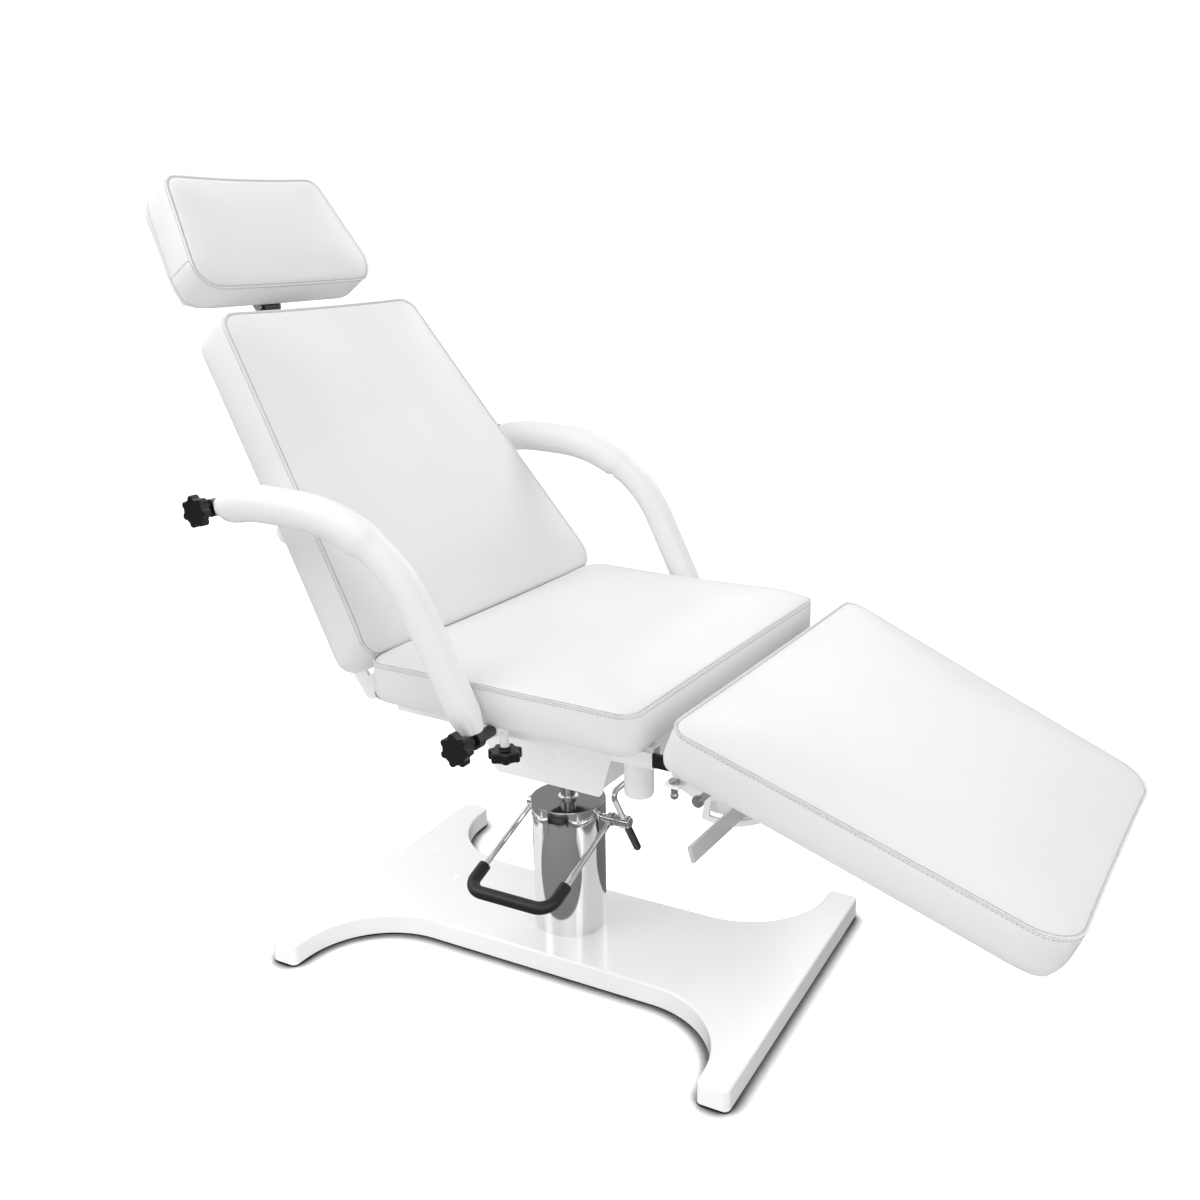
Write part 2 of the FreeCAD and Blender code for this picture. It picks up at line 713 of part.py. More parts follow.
def make_frame_posts():
    """Round posts with domed ends that hang from the frame in front of the carriage."""
    pieces = []
    for side in SIDES.values():
        foot = V(POST_AT, side * CARRIAGE_HALF, POST_LOW)
        post = rod(POST_RADIUS, foot, V(foot.x, foot.y, frame_under()))
        low = [e for e in post.Edges if abs(e.BoundBox.ZMax - POST_LOW) < 1e-6]
        pieces.append(post.makeFillet(POST_DOME, low))
    return group(pieces)


def rail_inner():
    return RAIL_OUTER - RAIL_WIDTH


def pivot_line(half):
    """Two points on the arm pivot, a distance each side of the middle."""
    pivot = V(ARM_PIVOT_X, 0, ARM_PIVOT_Z)
    return pivot - ACROSS * half, pivot + ACROSS * half


def make_seat_frame():
    """Two long rails, three cross tubes and two plates that carry the posts."""
    low = frame_under()
    wall = TUBE_WALL
    inner = rail_inner()
    parts = []
    for side in SIDES.values():
        y0, y1 = span(side, inner, RAIL_OUTER)
        rail = block(RAIL_REAR, RAIL_FRONT, y0, y1, low, SEAT_UNDER)
        core = block(RAIL_REAR, RAIL_FRONT, y0 + wall, y1 - wall, low + wall, SEAT_UNDER - wall)
        parts.append(rail.cut(core))
    for x in CROSS_PLACES:
        x0, x1 = x - CROSS_WIDTH / 2, x + CROSS_WIDTH / 2
        cross = block(x0, x1, -inner, inner, low, SEAT_UNDER)
        parts.append(cross.cut(block(x0 + wall, x1 - wall, -inner, inner, low + wall, SEAT_UNDER - wall)))
    x0 = CROSS_PLACES[1] + CROSS_WIDTH / 2
    x1 = CROSS_PLACES[2] - CROSS_WIDTH / 2
    for side in SIDES.values():
        wide = POST_RADIUS + POST_MARGIN
        y0, y1 = span(side, CARRIAGE_HALF - wide, CARRIAGE_HALF + wide)
        parts.append(block(x0, x1, y0, y1, low, low + CARRIAGE_WALL))
    return join(parts).cut(rod(CROSS_TUBE_RADIUS + SEAT_GAP, *pivot_line(RAIL_OUTER + 1)))


def make_arm_cross_tube():
    """Tube through both rails, with a tapped boss under each end for the clamping knob."""
    parts = [rod(CROSS_TUBE_RADIUS, *pivot_line(CROSS_TUBE_HALF))]
    for side in SIDES.values():
        top = V(ARM_PIVOT_X, side * CLAMP_AT, ARM_PIVOT_Z)
        parts.append(rod(CLAMP_BOSS, top - UP * (CROSS_TUBE_RADIUS + CLAMP_BOSS_LENGTH), top))
    body = join(parts)
    for side in SIDES.values():
        top = V(ARM_PIVOT_X, side * CLAMP_AT, ARM_PIVOT_Z)
        body = body.cut(rod(CLAMP_SCREW + SLIP, top - UP * (CROSS_TUBE_RADIUS + CLAMP_BOSS_LENGTH), top))
    return body.cut(rod(STUB_RADIUS + SEAT_GAP, *pivot_line(CROSS_TUBE_HALF)))


def arm_eye():
    return polar(ARM_PIVOT_X, ARM_PIVOT_Z, ARM_SPAN, ARM_BEARING)


def arm_middle(x):
    """Distance of an arm from the middle of the chair, which grows to the rear."""
    return ARM_PLANE + ARM_SPLAY * (ARM_PIVOT_X - x) / (ARM_PIVOT_X - arm_eye()[0])


def eye_face(x, way):
    """Inner (-1) or outer (1) face of an eye of the arm."""
    return arm_middle(x) + way * ARM_EYE_WIDTH / 2


def stud_end():
    return KNOB_FACE + KNOB_GRIP_DEPTH


def make_arm_stubs():
    """Black bars in the ends of the cross tube, turned down to a stud for the arm."""
    pieces = []
    for side in SIDES.values():
        pivot = V(ARM_PIVOT_X, 0, ARM_PIVOT_Z)
        inner = pivot + ACROSS * side * (CROSS_TUBE_HALF - STUB_INSERT)
        shoulder = pivot + ACROSS * side * (eye_face(ARM_PIVOT_X, -1) - SOFT_GAP)
        end = pivot + ACROSS * side * stud_end()
        stub = rod(STUB_RADIUS, inner, shoulder).fuse(rod(STUD_RADIUS, shoulder, end))
        pieces.append(stub.removeSplitter())
    return group(pieces)


# Cushions and boards

def cushion_corners(x0, x1, half0, half1, inset):
    """Corners of a tapered outline, moved inwards."""
    slope = (half1 - half0) / (x1 - x0)
    near = half0 + slope * inset - inset
    far = half1 - slope * inset - inset
    return [(x0 + inset, -near), (x1 - inset, -far), (x1 - inset, far), (x0 + inset, near)]


def make_board(x0, x1, half0, half1, low, radius, extra=0.0):
    """Plywood inside the wrapped edge of a cushion; extra widens it into a pocket."""
    corners = cushion_corners(x0, x1, half0, half1, BOARD_INSET - extra)
    return slab(corners, radius, low - extra, low + BOARD_THICK)


def make_cushion(x0, x1, half0, half1, low, seam, crown, radii, edge, heel=0.0, tilt=0.0):
    """Boxed cushion: a band up to the seam, a crowned face, and a pocket below for its board."""
    radius0, radius1 = radii
    reach = min(x1 - x0, 2 * half0, 2 * half1) / 2

    def ring(inset, height, far):
        shrink = 1 - 0.9 * inset / reach
        corners = cushion_corners(x0, far, half0, half1, inset)
        wire = outline(corners, [radius0 * shrink, radius1 * shrink, radius1 * shrink, radius0 * shrink])
        wire.translate(V(0, 0, height))
        return wire

    seam_ring = turned(ring(0, seam, x1), tilt, x1, seam)
    band = Part.makeLoft([ring(0, low, x1 + heel), seam_ring], True, True)
    band = band.makeFillet(edge, [e for e in band.Edges if abs(e.BoundBox.ZMax - low) < 1e-3])
    rings = []
    for inward, rise in CROWN_SHAPE:
        rings.append(turned(ring(inward * reach, seam + rise * crown, x1), tilt, x1, seam))
    body = band.fuse(Part.makeLoft(rings, True, True)).removeSplitter()
    return body.cut(make_board(x0, x1 + heel, half0, half1, low, min(radii), SOFT_GAP))


def seat_outline():
    return SEAT_REAR, SEAT_FRONT, SEAT_HALF, SEAT_HALF, SEAT_UNDER


def make_seat_cushion():
    radii = (CUSHION_CORNER, CUSHION_CORNER)
    body = make_cushion(*seat_outline(), SEAM_HEIGHT, SEAT_CROWN, radii, CUSHION_EDGE)
    return body.cut(rod(CROSS_TUBE_RADIUS + SOFT_GAP, *pivot_line(2 * SEAT_HALF)))


def make_seat_board():
    """Seat board with a groove for the arm cross tube."""
    board = make_board(*seat_outline(), CUSHION_CORNER)
    return board.cut(rod(CROSS_TUBE_RADIUS + SEAT_GAP, *pivot_line(2 * SEAT_HALF)))


# Hinges

def fixed_plane():
    """Outer face of the black plates on the rails."""
    return RAIL_OUTER + HINGE_PLATE


def moving_plane():
    """Outer face of the plates that turn inside them."""
    return RAIL_OUTER - PLATE_GAP


def rail_plate(side, x_root, x_hinge, z_hinge):
    """Black plate on the outside of a rail that ends in the eye of a hinge."""
    y0, y1 = span(side, RAIL_OUTER, fixed_plane())
    low = z_hinge - HINGE_EYE
    bar = block(*sorted((x_root, x_hinge)), y0, y1, low, min(HINGE_TOP, z_hinge + HINGE_EYE))
    eye = rod(HINGE_EYE, V(x_hinge, y0, z_hinge), V(x_hinge, y1, z_hinge))
    hole = rod(HINGE_PIN, V(x_hinge, y0 - 1, z_hinge), V(x_hinge, y1 + 1, z_hinge))
    return bar.fuse(eye).cut(hole).removeSplitter()


def make_leg_hinge_arms():
    """Plates at the front, each with a foot for its stop screw."""
    pieces = []
    low = LEG_HINGE_Z - HINGE_EYE
    half = 2.5 * STOP_RADIUS
    for side in SIDES.values():
        arm = rail_plate(side, RAIL_FRONT - HINGE_ROOT, LEG_HINGE_X, LEG_HINGE_Z)
        y0, y1 = span(side, fixed_plane() - 1, STOP_AT_Y + 2 * STOP_RADIUS)
        foot = block(STOP_AT_X - half, STOP_AT_X + half, y0, y1, low - 2, low + 2)
        start = V(STOP_AT_X, side * STOP_AT_Y, low - HINGE_EYE)
        hole = Part.makeCylinder(STOP_RADIUS + SEAT_GAP, 2 * HINGE_EYE, start)
        pieces.append(arm.fuse(foot).cut(hole).removeSplitter())
    return group(pieces)


def make_stop_screws():
    pieces = []
    low = LEG_HINGE_Z - HINGE_EYE
    for side in SIDES.values():
        foot = V(STOP_AT_X, side * STOP_AT_Y, STOP_LOW)
        seat = V(foot.x, foot.y, low + 2)
        pin = rod(STOP_RADIUS, foot, seat + UP * STOP_NUT)
        nut = rod(STOP_HEAD + 1, seat, seat + UP * (STOP_NUT - 1))
        pieces.append(pin.fuse([nut, Part.makeSphere(STOP_HEAD - 1, foot)]).removeSplitter())
    return group(pieces)


def make_back_hinge_lugs():
    root = RAIL_REAR + HINGE_ROOT
    return group(rail_plate(side, root, BACK_HINGE_X, BACK_HINGE_Z) for side in SIDES.values())


def make_hinge_pins():
    """Headed pins through the two plates of each of the four hinges."""
    pieces = []
    for x, z in ((LEG_HINGE_X, LEG_HINGE_Z), (BACK_HINGE_X, BACK_HINGE_Z)):
        for side in SIDES.values():
            start = V(x, side * (moving_plane() - HINGE_PLATE), z)
            face = V(x, side * fixed_plane(), z)
            shank = rod(HINGE_PIN - SLIP, start, face)
            head = rod(HINGE_PIN + 2, face, face + ACROSS * side * HINGE_HEAD)
            pieces.append(shank.fuse(head).removeSplitter())
    return group(pieces)


# Leg rest, modelled level and then let down about its hinge

def lowered(shape):
    return turned(shape, LEG_ANGLE, LEG_HINGE_X, LEG_HINGE_Z)


def leg_under():
    return SEAM_HEIGHT - LEG_BAND


def leg_outline():
    return LEG_REAR, LEG_REAR + LEG_LENGTH, LEG_HALF_REAR, LEG_HALF_FOOT, leg_under()


def make_leg_cushion():
    radii = (CUSHION_CORNER, LEG_FOOT_CORNER)
    return lowered(make_cushion(*leg_outline(), SEAM_HEIGHT, LEG_CROWN, radii, CUSHION_EDGE))


def make_leg_board():
    return lowered(make_board(*leg_outline(), CUSHION_CORNER))


def make_leg_hinge_leaves():
    """Leaves under the leg board, inside the black plates of the seat frame."""
    pieces = []
    x, z = LEG_HINGE_X, LEG_HINGE_Z
    high = leg_under()
    for side in SIDES.values():
        y0, y1 = span(side, moving_plane() - HINGE_PLATE, moving_plane())
        tip = x + LEAF_LENGTH
        corners = [(x, z - HINGE_EYE), (tip, high - LEAF_TIP), (tip, high), (x, high)]
        web = upright(corners, [1, 3, 1, 1], y0, y1)
        f0, f1 = span(side, moving_plane() - LEAF_FLANGE, moving_plane())
        flange = block(x + 2 * HINGE_EYE, tip, f0, f1, high - HINGE_PLATE, high)
        eye = rod(HINGE_EYE, V(x, y0, z), V(x, y1, z))
        hole = rod(HINGE_PIN, V(x, y0 - 1, z), V(x, y1 + 1, z))
        pieces.append(web.fuse([flange, eye]).cut(hole).removeSplitter())
    return lowered(group(pieces))


def sector(inner, outer, start, end, y0, y1):
    """Plate round the leg hinge between two radii and two bearings."""
    middle = (start + end) / 2
    x, z = LEG_HINGE_X, LEG_HINGE_Z
    low = [in_side_view(*polar(x, z, inner, t)) for t in (start, middle, end)]
    high = [in_side_view(*polar(x, z, outer, t)) for t in (start, middle, end)]
    edges = [
        Part.Arc(*low).toShape(),
        Part.LineSegment(low[2], high[2]).toShape(),
        Part.Arc(*reversed(high)).toShape(),
        Part.LineSegment(high[0], low[0]).toShape(),
    ]
    face = Part.Face(Part.Wire(edges))
    face.translate(V(0, y0, 0))
    return face.extrude(V(0, y1 - y0, 0))


def slot_range():
    """Bearings of both ends of the slot, on the level leg rest."""
    margin = degrees(atan2(BAR_THICK / 2 + BAR_SLACK, BAR_ORBIT - BAR_WIDTH / 2))
    return BAR_BEARING - margin, BAR_BEARING + LEG_DROP + margin


def rod_place():
    return polar(LEG_HINGE_X, LEG_HINGE_Z, ROD_ORBIT, ROD_BEARING)


def make_leg_quadrants():
    """Plates under the leg board with an arc slot and detents for the lock bar."""
    pieces = []
    x, z = LEG_HINGE_X, LEG_HINGE_Z
    high = leg_under()
    half = BAR_WIDTH / 2 + BAR_SLACK
    start, end = slot_range()
    rod_x, rod_z = rod_place()
    detents = int((end - start) / DETENT_STEP)
    for side in SIDES.values():
        y0, y1 = span(side, QUADRANT_AT - QUADRANT_PLATE, QUADRANT_AT)
        f0, f1 = span(side, QUADRANT_AT - LEAF_FLANGE, QUADRANT_AT)
        plate = sector(HINGE_EYE + 3, QUADRANT_OUTER, start - QUADRANT_RIM, end + 3 * QUADRANT_RIM, y0, y1)
        ear = block(x + ROD_ORBIT / 2, x + QUADRANT_OUTER, y0, y1, z - HINGE_EYE, high)
        flange = block(x + ROD_ORBIT / 2, x + QUADRANT_OUTER, f0, f1, high - QUADRANT_PLATE, high)
        plate = plate.fuse([ear, flange])
        plate = plate.cut(block(x, x + 2 * QUADRANT_OUTER, f0 - 1, f1 + 1, high, high + QUADRANT_OUTER))
        plate = plate.cut(sector(BAR_ORBIT - half, BAR_ORBIT + half, start, end, y0 - 1, y1 + 1))
        for i in range(detents):
            px, pz = polar(x, z, BAR_ORBIT - half, start + DETENT_STEP * (i + 0.5))
            plate = plate.cut(rod(DETENT_RADIUS, V(px, y0 - 1, pz), V(px, y1 + 1, pz)))
        hole = rod(ROD_RADIUS + SEAT_GAP, V(rod_x, y0 - 1, rod_z), V(rod_x, y1 + 1, rod_z))
        pieces.append(plate.cut(hole).removeSplitter())
    return lowered(group(pieces))


def make_quadrant_rod():
    """Plated rod through both quadrants, with a flange near each end."""
    x, z = rod_place()
    parts = [rod(ROD_RADIUS, V(x, -ROD_HALF, z), V(x, ROD_HALF, z))]
    for side in SIDES.values():
        end = V(x, side * (ROD_HALF - 3), z)
        parts.append(rod(ROD_FLANGE, end, end - ACROSS * side * ROD_FLANGE_THICK))
    return lowered(join(parts))


def bar_place():
    return polar(LEG_HINGE_X, LEG_HINGE_Z, BAR_ORBIT, BAR_BEARING)


def turned_to_bar(shape):
    """From upright to the line from the leg hinge to the lock bar."""
    return turned(shape, -(BAR_BEARING + 90), *bar_place())


def make_lock_bar():
    """Plated channel across the frame, its long end the handle on the right."""
    x, z = bar_place()
    t = BAR_THICK / 2
    w = BAR_WIDTH / 2
    bar = block(x - t, x + t, -BAR_OUTER, BAR_INNER, z - w, z + w)
    bar = bar.makeFillet(BAR_WALL, [e for e in bar.Edges if e.BoundBox.YLength > BAR_OUTER])
    groove = block(x - t, x + t - BAR_WALL, -BAR_OUTER + 4 * BAR_WALL, BAR_INNER + 1, z - w + 2 * BAR_WALL,
                   z + w - 2 * BAR_WALL)
    return turned_to_bar(bar.cut(groove))


def make_stay_arms():
    """J-shaped plates from the front cross tube down and forward to the lock bar."""
    x, z = bar_place()
    root = CROSS_PLACES[2]
    top = frame_under()
    half = CROSS_WIDTH / 2
    tip = BAR_WIDTH / 2 + 3
    corners = [(root - half, top), (root + half, top), (root + half + STAY_LEAN, z + 3 * tip),
               (x - 3 * tip, z + tip), (x + tip, z + tip), (x + tip, z - tip),
               (x - 3 * tip, z - tip), (root, z + tip)]
    t = BAR_THICK / 2 + BAR_FIT
    w = BAR_WIDTH / 2 + BAR_FIT
    pieces = []
    for side in SIDES.values():
        y0, y1 = span(side, STAY_ARM_AT, STAY_ARM_AT + HINGE_PLATE)
        arm = upright(corners, [2, 2, 20, 14, 5, 5, 24, 24], y0, y1)
        hole = block(x - t, x + t, y0 - 1, y1 + 1, z - w, z + w)
        pieces.append(arm.cut(turned_to_bar(hole)))
    return group(pieces)


# Backrest, modelled level behind the seat and then raised about its hinge

def raised(shape):
    return turned(shape, BACK_ANGLE, BACK_HINGE_X, BACK_HINGE_Z)


def back_under():
    return SEAM_HEIGHT - BACK_BAND


def back_top():
    return BACK_LOW - BACK_LENGTH


def make_back_cushion():
    return raised(make_cushion(back_top(), BACK_LOW, BACK_HALF_TOP, BACK_HALF_LOW, back_under(), SEAM_HEIGHT,
                               BACK_CROWN, (CUSHION_CORNER, CUSHION_CORNER), CUSHION_EDGE, BACK_HEEL))


def make_back_board():
    return raised(make_board(back_top(), BACK_LOW + BACK_HEEL, BACK_HALF_TOP, BACK_HALF_LOW, back_under(),
                             CUSHION_CORNER))


def make_back_hinge_plates():
    """Plates under the back board that reach forward to the recline axis."""
    pieces = []
    x, z = BACK_HINGE_X, BACK_HINGE_Z
    high = back_under()
    low = high - BACK_PLATE_DEPTH
    root = BACK_LOW - BACK_PLATE_LENGTH
    rise = BACK_LOW + BACK_HEEL + 4
    for side in SIDES.values():
        y0, y1 = span(side, moving_plane() - HINGE_PLATE, moving_plane())
        corners = [(root, high - 8), (root + 40, low), (x, low), (x, z + HINGE_EYE), (rise, z + HINGE_EYE),
                   (rise, high), (root, high)]
        plate = upright(corners, [2, 12, 10, 1, 8, 1, 2], y0, y1)
        f0, f1 = span(side, moving_plane() - LEAF_FLANGE, moving_plane())
        flange = block(root, BACK_LOW - BOARD_INSET, f0, f1, high - HINGE_PLATE, high)
        eye = rod(HINGE_EYE, V(x, y0, z), V(x, y1, z))
        hole = rod(HINGE_PIN, V(x, y0 - 1, z), V(x, y1 + 1, z))
        pieces.append(plate.fuse([flange, eye]).cut(hole).removeSplitter())
    return raised(group(pieces))


def stud_place(recline):
    """Upper stud of the arm at one recline, seen from the backrest laid level."""
    x, z = polar(ARM_PIVOT_X, ARM_PIVOT_Z, ARM_SPAN, ARM_BEARING + ARM_RATIO * recline)
    dx = x - BACK_HINGE_X
    dz = z - BACK_HINGE_Z
    bearing = degrees(atan2(dz, dx)) + BACK_ANGLE - recline
    return polar(BACK_HINGE_X, BACK_HINGE_Z, hypot(dx, dz), bearing)


def stud_track():
    return [stud_place(RECLINE * i / GUIDE_STEPS) for i in range(GUIDE_STEPS + 1)]


def track_plate(half, y0, y1):
    """Plate of a given half width round the track of the stud."""
    points = stud_track()
    pieces = [rod(half, V(x, y0, z), V(x, y1, z)) for x, z in points]
    for (x0, z0), (x1, z1) in zip(points, points[1:]):
        length = hypot(x1 - x0, z1 - z0)
        link = block(0, length, 0, y1 - y0, -half, half)
        link.rotate(V(0, 0, 0), ACROSS, -degrees(atan2(z1 - z0, x1 - x0)))
        link.translate(V(x0, y0, z0))
        pieces.append(link)
    return join(pieces)


def make_arm_guides():
    """Slotted plates under the back board, joined by two flat bars."""
    half = STUD_RADIUS + GUIDE_SLACK
    high = back_under()
    xs = [x for x, z in stud_track()]
    places = (min(xs) - 3 * GUIDE_RIM, max(xs) + GUIDE_RIM)
    outer = GUIDE_AT + GUIDE_PLATE
    parts = []
    for side in SIDES.values():
        y0, y1 = span(side, GUIDE_AT, outer)
        plate = track_plate(half + GUIDE_RIM, y0, y1)
        plate = plate.fuse(block(places[0], places[1] + GUIDE_RIM, y0, y1, high - 3 * GUIDE_RIM, high))
        plate = plate.cut(block(places[0] - 50, places[1] + 50, y0 - 1, y1 + 1, high, high + 50))
        parts.append(plate.cut(track_plate(half, y0 - 1, y1 + 1)))
    for x in places:
        parts.append(block(x, x + 1.5 * GUIDE_RIM, -outer, outer, high - GUIDE_BAR, high))
    return raised(join(parts))


# Armrests

def arm_path(side, rear_gap=0.0):
    """Centre line of the arm: three bends from the seat to the rear eye."""
    places = [(ARM_PIVOT_X, ARM_PIVOT_Z)]
    places += [(ARM_PIVOT_X + dx, ARM_PIVOT_Z + dz) for dx, dz, bend in ARM_BENDS]
    places.append(arm_eye())
    points = [V(x, side * arm_middle(x), z) for x, z in places]
    points[0] += (points[1] - points[0]).normalize() * (ARM_EYE - 2)
    points[-1] += (points[-2] - points[-1]).normalize() * (ARM_EYE - 2 + rear_gap)
    return bent_path(points, [bend for dx, dz, bend in ARM_BENDS])


def make_arm_frame(side):
    """Bent steel bar with an eye at each end."""
    places = [(ARM_PIVOT_X, ARM_PIVOT_Z), arm_eye()]
    eyes = []
    bores = []
    for x, z in places:
        y0, y1 = span(side, eye_face(x, -1), eye_face(x, 1))
        eyes.append(rod(ARM_EYE, V(x, y0, z), V(x, y1, z)))
        bores.append(rod(STUD_RADIUS + SLIP, V(x, y0 - ARM_TUBE, z), V(x, y1 + ARM_TUBE, z)))
    return bent_bar(arm_path(side), ARM_TUBE).fuse(eyes).cut(bores).removeSplitter()


def make_arm_pad(side):
    """Padded sleeve round the arm, thinner below its notch and rounded at both ends."""
    path = arm_path(side, PAD_REAR_GAP)
    edges = path.OrderedEdges
    low = bent_bar(Part.Wire(edges[:2]), PAD_LOW_RADIUS)
    high = bent_bar(Part.Wire(edges[2:]), PAD_RADIUS)
    ends = [(path.OrderedVertexes[0], PAD_GATHER), (path.OrderedVertexes[-1], PAD_TAPER)]
    pad = low.fuse(high)
    for end, radius in ends:
        rim = [e for e in pad.Edges if e.BoundBox.Center.distanceToPoint(end.Point) < 1.0]
        pad = pad.makeFillet(radius, rim)
    return pad.cut(bent_bar(path, ARM_TUBE))


def make_arm_stud(side):
    """Stud from the arm's rear eye to its slot, with a collar each side of the plate."""
    x, z = arm_eye()
    inner = GUIDE_AT - SOFT_GAP
    outer = GUIDE_AT + GUIDE_PLATE + SOFT_GAP
    parts = [
        rod(STUD_RADIUS, V(x, side * (inner - COLLAR_NUT_THICK), z), V(x, side * stud_end(), z)),
        rod(COLLAR_NUT, V(x, side * (inner - COLLAR_NUT_THICK), z), V(x, side * inner, z)),
        rod(COLLAR_NUT, V(x, side * outer, z), V(x, side * (outer + COLLAR_NUT_THICK), z)),
    ]
    return join(parts)


def make_star_knob(hub_length):
    """Lobed knob along +Z, hub first."""
    disc = Part.makeCylinder(KNOB_RADIUS, KNOB_THICK, V(0, 0, hub_length))
    for i in range(KNOB_LOBES):
        x, y = polar(0, 0, KNOB_RADIUS - 1, 360 * i / KNOB_LOBES)
        disc = disc.fuse(Part.makeCylinder(KNOB_LOBE, KNOB_THICK, V(x, y, hub_length)))
    for i in range(KNOB_LOBES):
        x, y = polar(0, 0, KNOB_RADIUS + KNOB_LOBE - 1, 360 * (i + 0.5) / KNOB_LOBES)
        disc = disc.cut(Part.makeCylinder(KNOB_LOBE - 1, KNOB_THICK, V(x, y, hub_length)))
    hub = Part.makeCylinder(KNOB_HUB, hub_length)
    return disc.fuse(hub).removeSplitter()


def make_arm_knob(x, z, side):
    """Star knob on the end of a stud across the chair."""
    start = eye_face(x, 1) + SOFT_GAP
    knob = make_star_knob(KNOB_FACE - start)
    knob = knob.cut(Part.makeCylinder(STUD_RADIUS + SLIP, stud_end() - start + 1))
    knob.rotate(V(0, 0, 0), ALONG, -90 * side)
    knob.translate(V(x, side * start, z))
    return knob


def make_screw_knob(reach):
    """Star knob that hangs from its own screw: hub top at the origin."""
    knob = make_star_knob(CLAMP_HUB_LENGTH)
    knob.rotate(V(0, 0, 0), ALONG, 180)
    return knob.fuse(Part.makeCylinder(CLAMP_SCREW, reach)).removeSplitter()


def make_clamp_knob(side):
    """Screw up through the boss to the black bar in the cross tube."""
    gap = SOFT_GAP
    knob = make_screw_knob(CLAMP_BOSS_LENGTH + CROSS_TUBE_RADIUS - STUB_RADIUS)
    face = ARM_PIVOT_Z - CROSS_TUBE_RADIUS - CLAMP_BOSS_LENGTH - gap
    knob.translate(V(ARM_PIVOT_X, side * CLAMP_AT, face))
    return knob


# Headrest

def head_low():
    return back_top() - HEAD_GAP


def head_under():
    return SEAM_HEIGHT - HEAD_SEAM_DROP - HEAD_BAND


def head_bar_top():
    return head_under() - HEAD_BAR_GAP


def head_outline():
    return head_low() - HEAD_LENGTH, head_low(), HEAD_HALF_TOP, HEAD_HALF_LOW, head_under()


def sleeve_span():
    """Both ends of the sleeve along the backrest."""
    start = back_top() + HEAD_SLEEVE_INSET
    return start, start + HEAD_SLEEVE_LENGTH


def sleeve_low():
    return head_bar_top() - HEAD_BAR_THICK - SEAT_GAP - HEAD_SLEEVE_WALL


def make_head_sleeve():
    """Rectangular sleeve with a flange, under the top of the back board."""
    x0, x1 = sleeve_span()
    wall = HEAD_SLEEVE_WALL
    half = HEAD_BAR_WIDTH / 2 + SEAT_GAP
    high = back_under()
    top = head_bar_top() + SEAT_GAP
    sleeve = block(x0, x1, -half - wall, half + wall, sleeve_low(), high)
    sleeve = sleeve.fuse(block(x0, x1, -half - 8 * wall, half + 8 * wall, high - wall, high))
    sleeve = sleeve.cut(block(x0 - 1, x1 + 1, -half, half, sleeve_low() + wall, top))
    sleeve = sleeve.cut(block(x0 - 1, x1 + 1, -half, half, top + wall, high - wall))
    screw = V((x0 + x1) / 2, 0, sleeve_low() - 1)
    return raised(sleeve.cut(Part.makeCylinder(LOCK_SCREW + SLIP, wall + 2, screw)).removeSplitter())


def make_head_lock_knob():
    """Screw knob under the sleeve that holds the bar."""
    x0, x1 = sleeve_span()
    knob = make_screw_knob(HEAD_SLEEVE_WALL + SEAT_GAP)
    knob.translate(V((x0 + x1) / 2, 0, sleeve_low() - SOFT_GAP))
    return raised(knob)


def head_pivot():
    """Tilt axis, at the outer end of the bar."""
    return head_low() - HEAD_PIVOT_INSET, head_bar_top() - HEAD_BAR_THICK / 2


def make_head_bar():
    """Flat bar with an eye across its outer end."""
    x, z = head_pivot()
    half = HEAD_BAR_WIDTH / 2
    t = HEAD_BAR_THICK / 2
    bar = block(x, x + HEAD_BAR_LENGTH, -half, half, z - t, z + t)
    bar = bar.fuse(rod(HEAD_EYE, V(x, -half, z), V(x, half, z)))
    return raised(bar.cut(rod(HEAD_PIN + SLIP, V(x, -half - 1, z), V(x, half + 1, z))).removeSplitter())


def make_head_lugs():
    """Bracket halves under the head board, one each side of the bar."""
    x, z = head_pivot()
    high = head_under()
    near = HEAD_BAR_WIDTH / 2 + SOFT_GAP
    pieces = []
    for side in SIDES.values():
        y0, y1 = span(side, near, near + HEAD_LUG_WIDTH)
        corners = [(x - 5 * HEAD_EYE, high), (x - HEAD_EYE, z - HEAD_EYE),
                   (x + HEAD_EYE, z - HEAD_EYE), (x + HEAD_EYE, z), (x - HEAD_EYE / 2, high)]
        lug = upright(corners, [2, HEAD_EYE / 2, HEAD_EYE - 1, 2, 2], y0, y1)
        f0, f1 = span(side, near, near + 4 * HEAD_LUG_WIDTH)
        foot = block(x - 7 * HEAD_EYE, x - HEAD_EYE, f0, f1, high - HEAD_LUG_WIDTH / 2, high)
        hole = rod(HEAD_PIN, V(x, y0 - 1, z), V(x, y1 + 1, z))
        pieces.append(lug.fuse(foot).cut(hole).removeSplitter())
    return raised(group(pieces))


def make_head_pin():
    x, z = head_pivot()
    half = HEAD_BAR_WIDTH / 2 + SOFT_GAP + HEAD_LUG_WIDTH
    shank = rod(HEAD_PIN, V(x, -half, z), V(x, half, z))
    heads = [rod(HEAD_PIN + 2.5, V(x, s * half, z), V(x, s * (half + 3), z)) for s in SIDES.values()]
    return raised(join([shank] + heads))


def make_head_cushion():
    return raised(make_cushion(*head_outline(), SEAM_HEIGHT - HEAD_SEAM_DROP, HEAD_CROWN,
                               (HEAD_CORNER_TOP, HEAD_CORNER_LOW), HEAD_EDGE, 0.0, HEAD_TILT))


def make_head_board():
    return raised(make_board(*head_outline(), HEAD_CORNER_TOP))


def on_base(shape):
    """Turned with the base plate under the seat."""
    copy = shape.copy()
    copy.rotate(V(0, 0, 0), UP, BASE_TURN)
    return copy


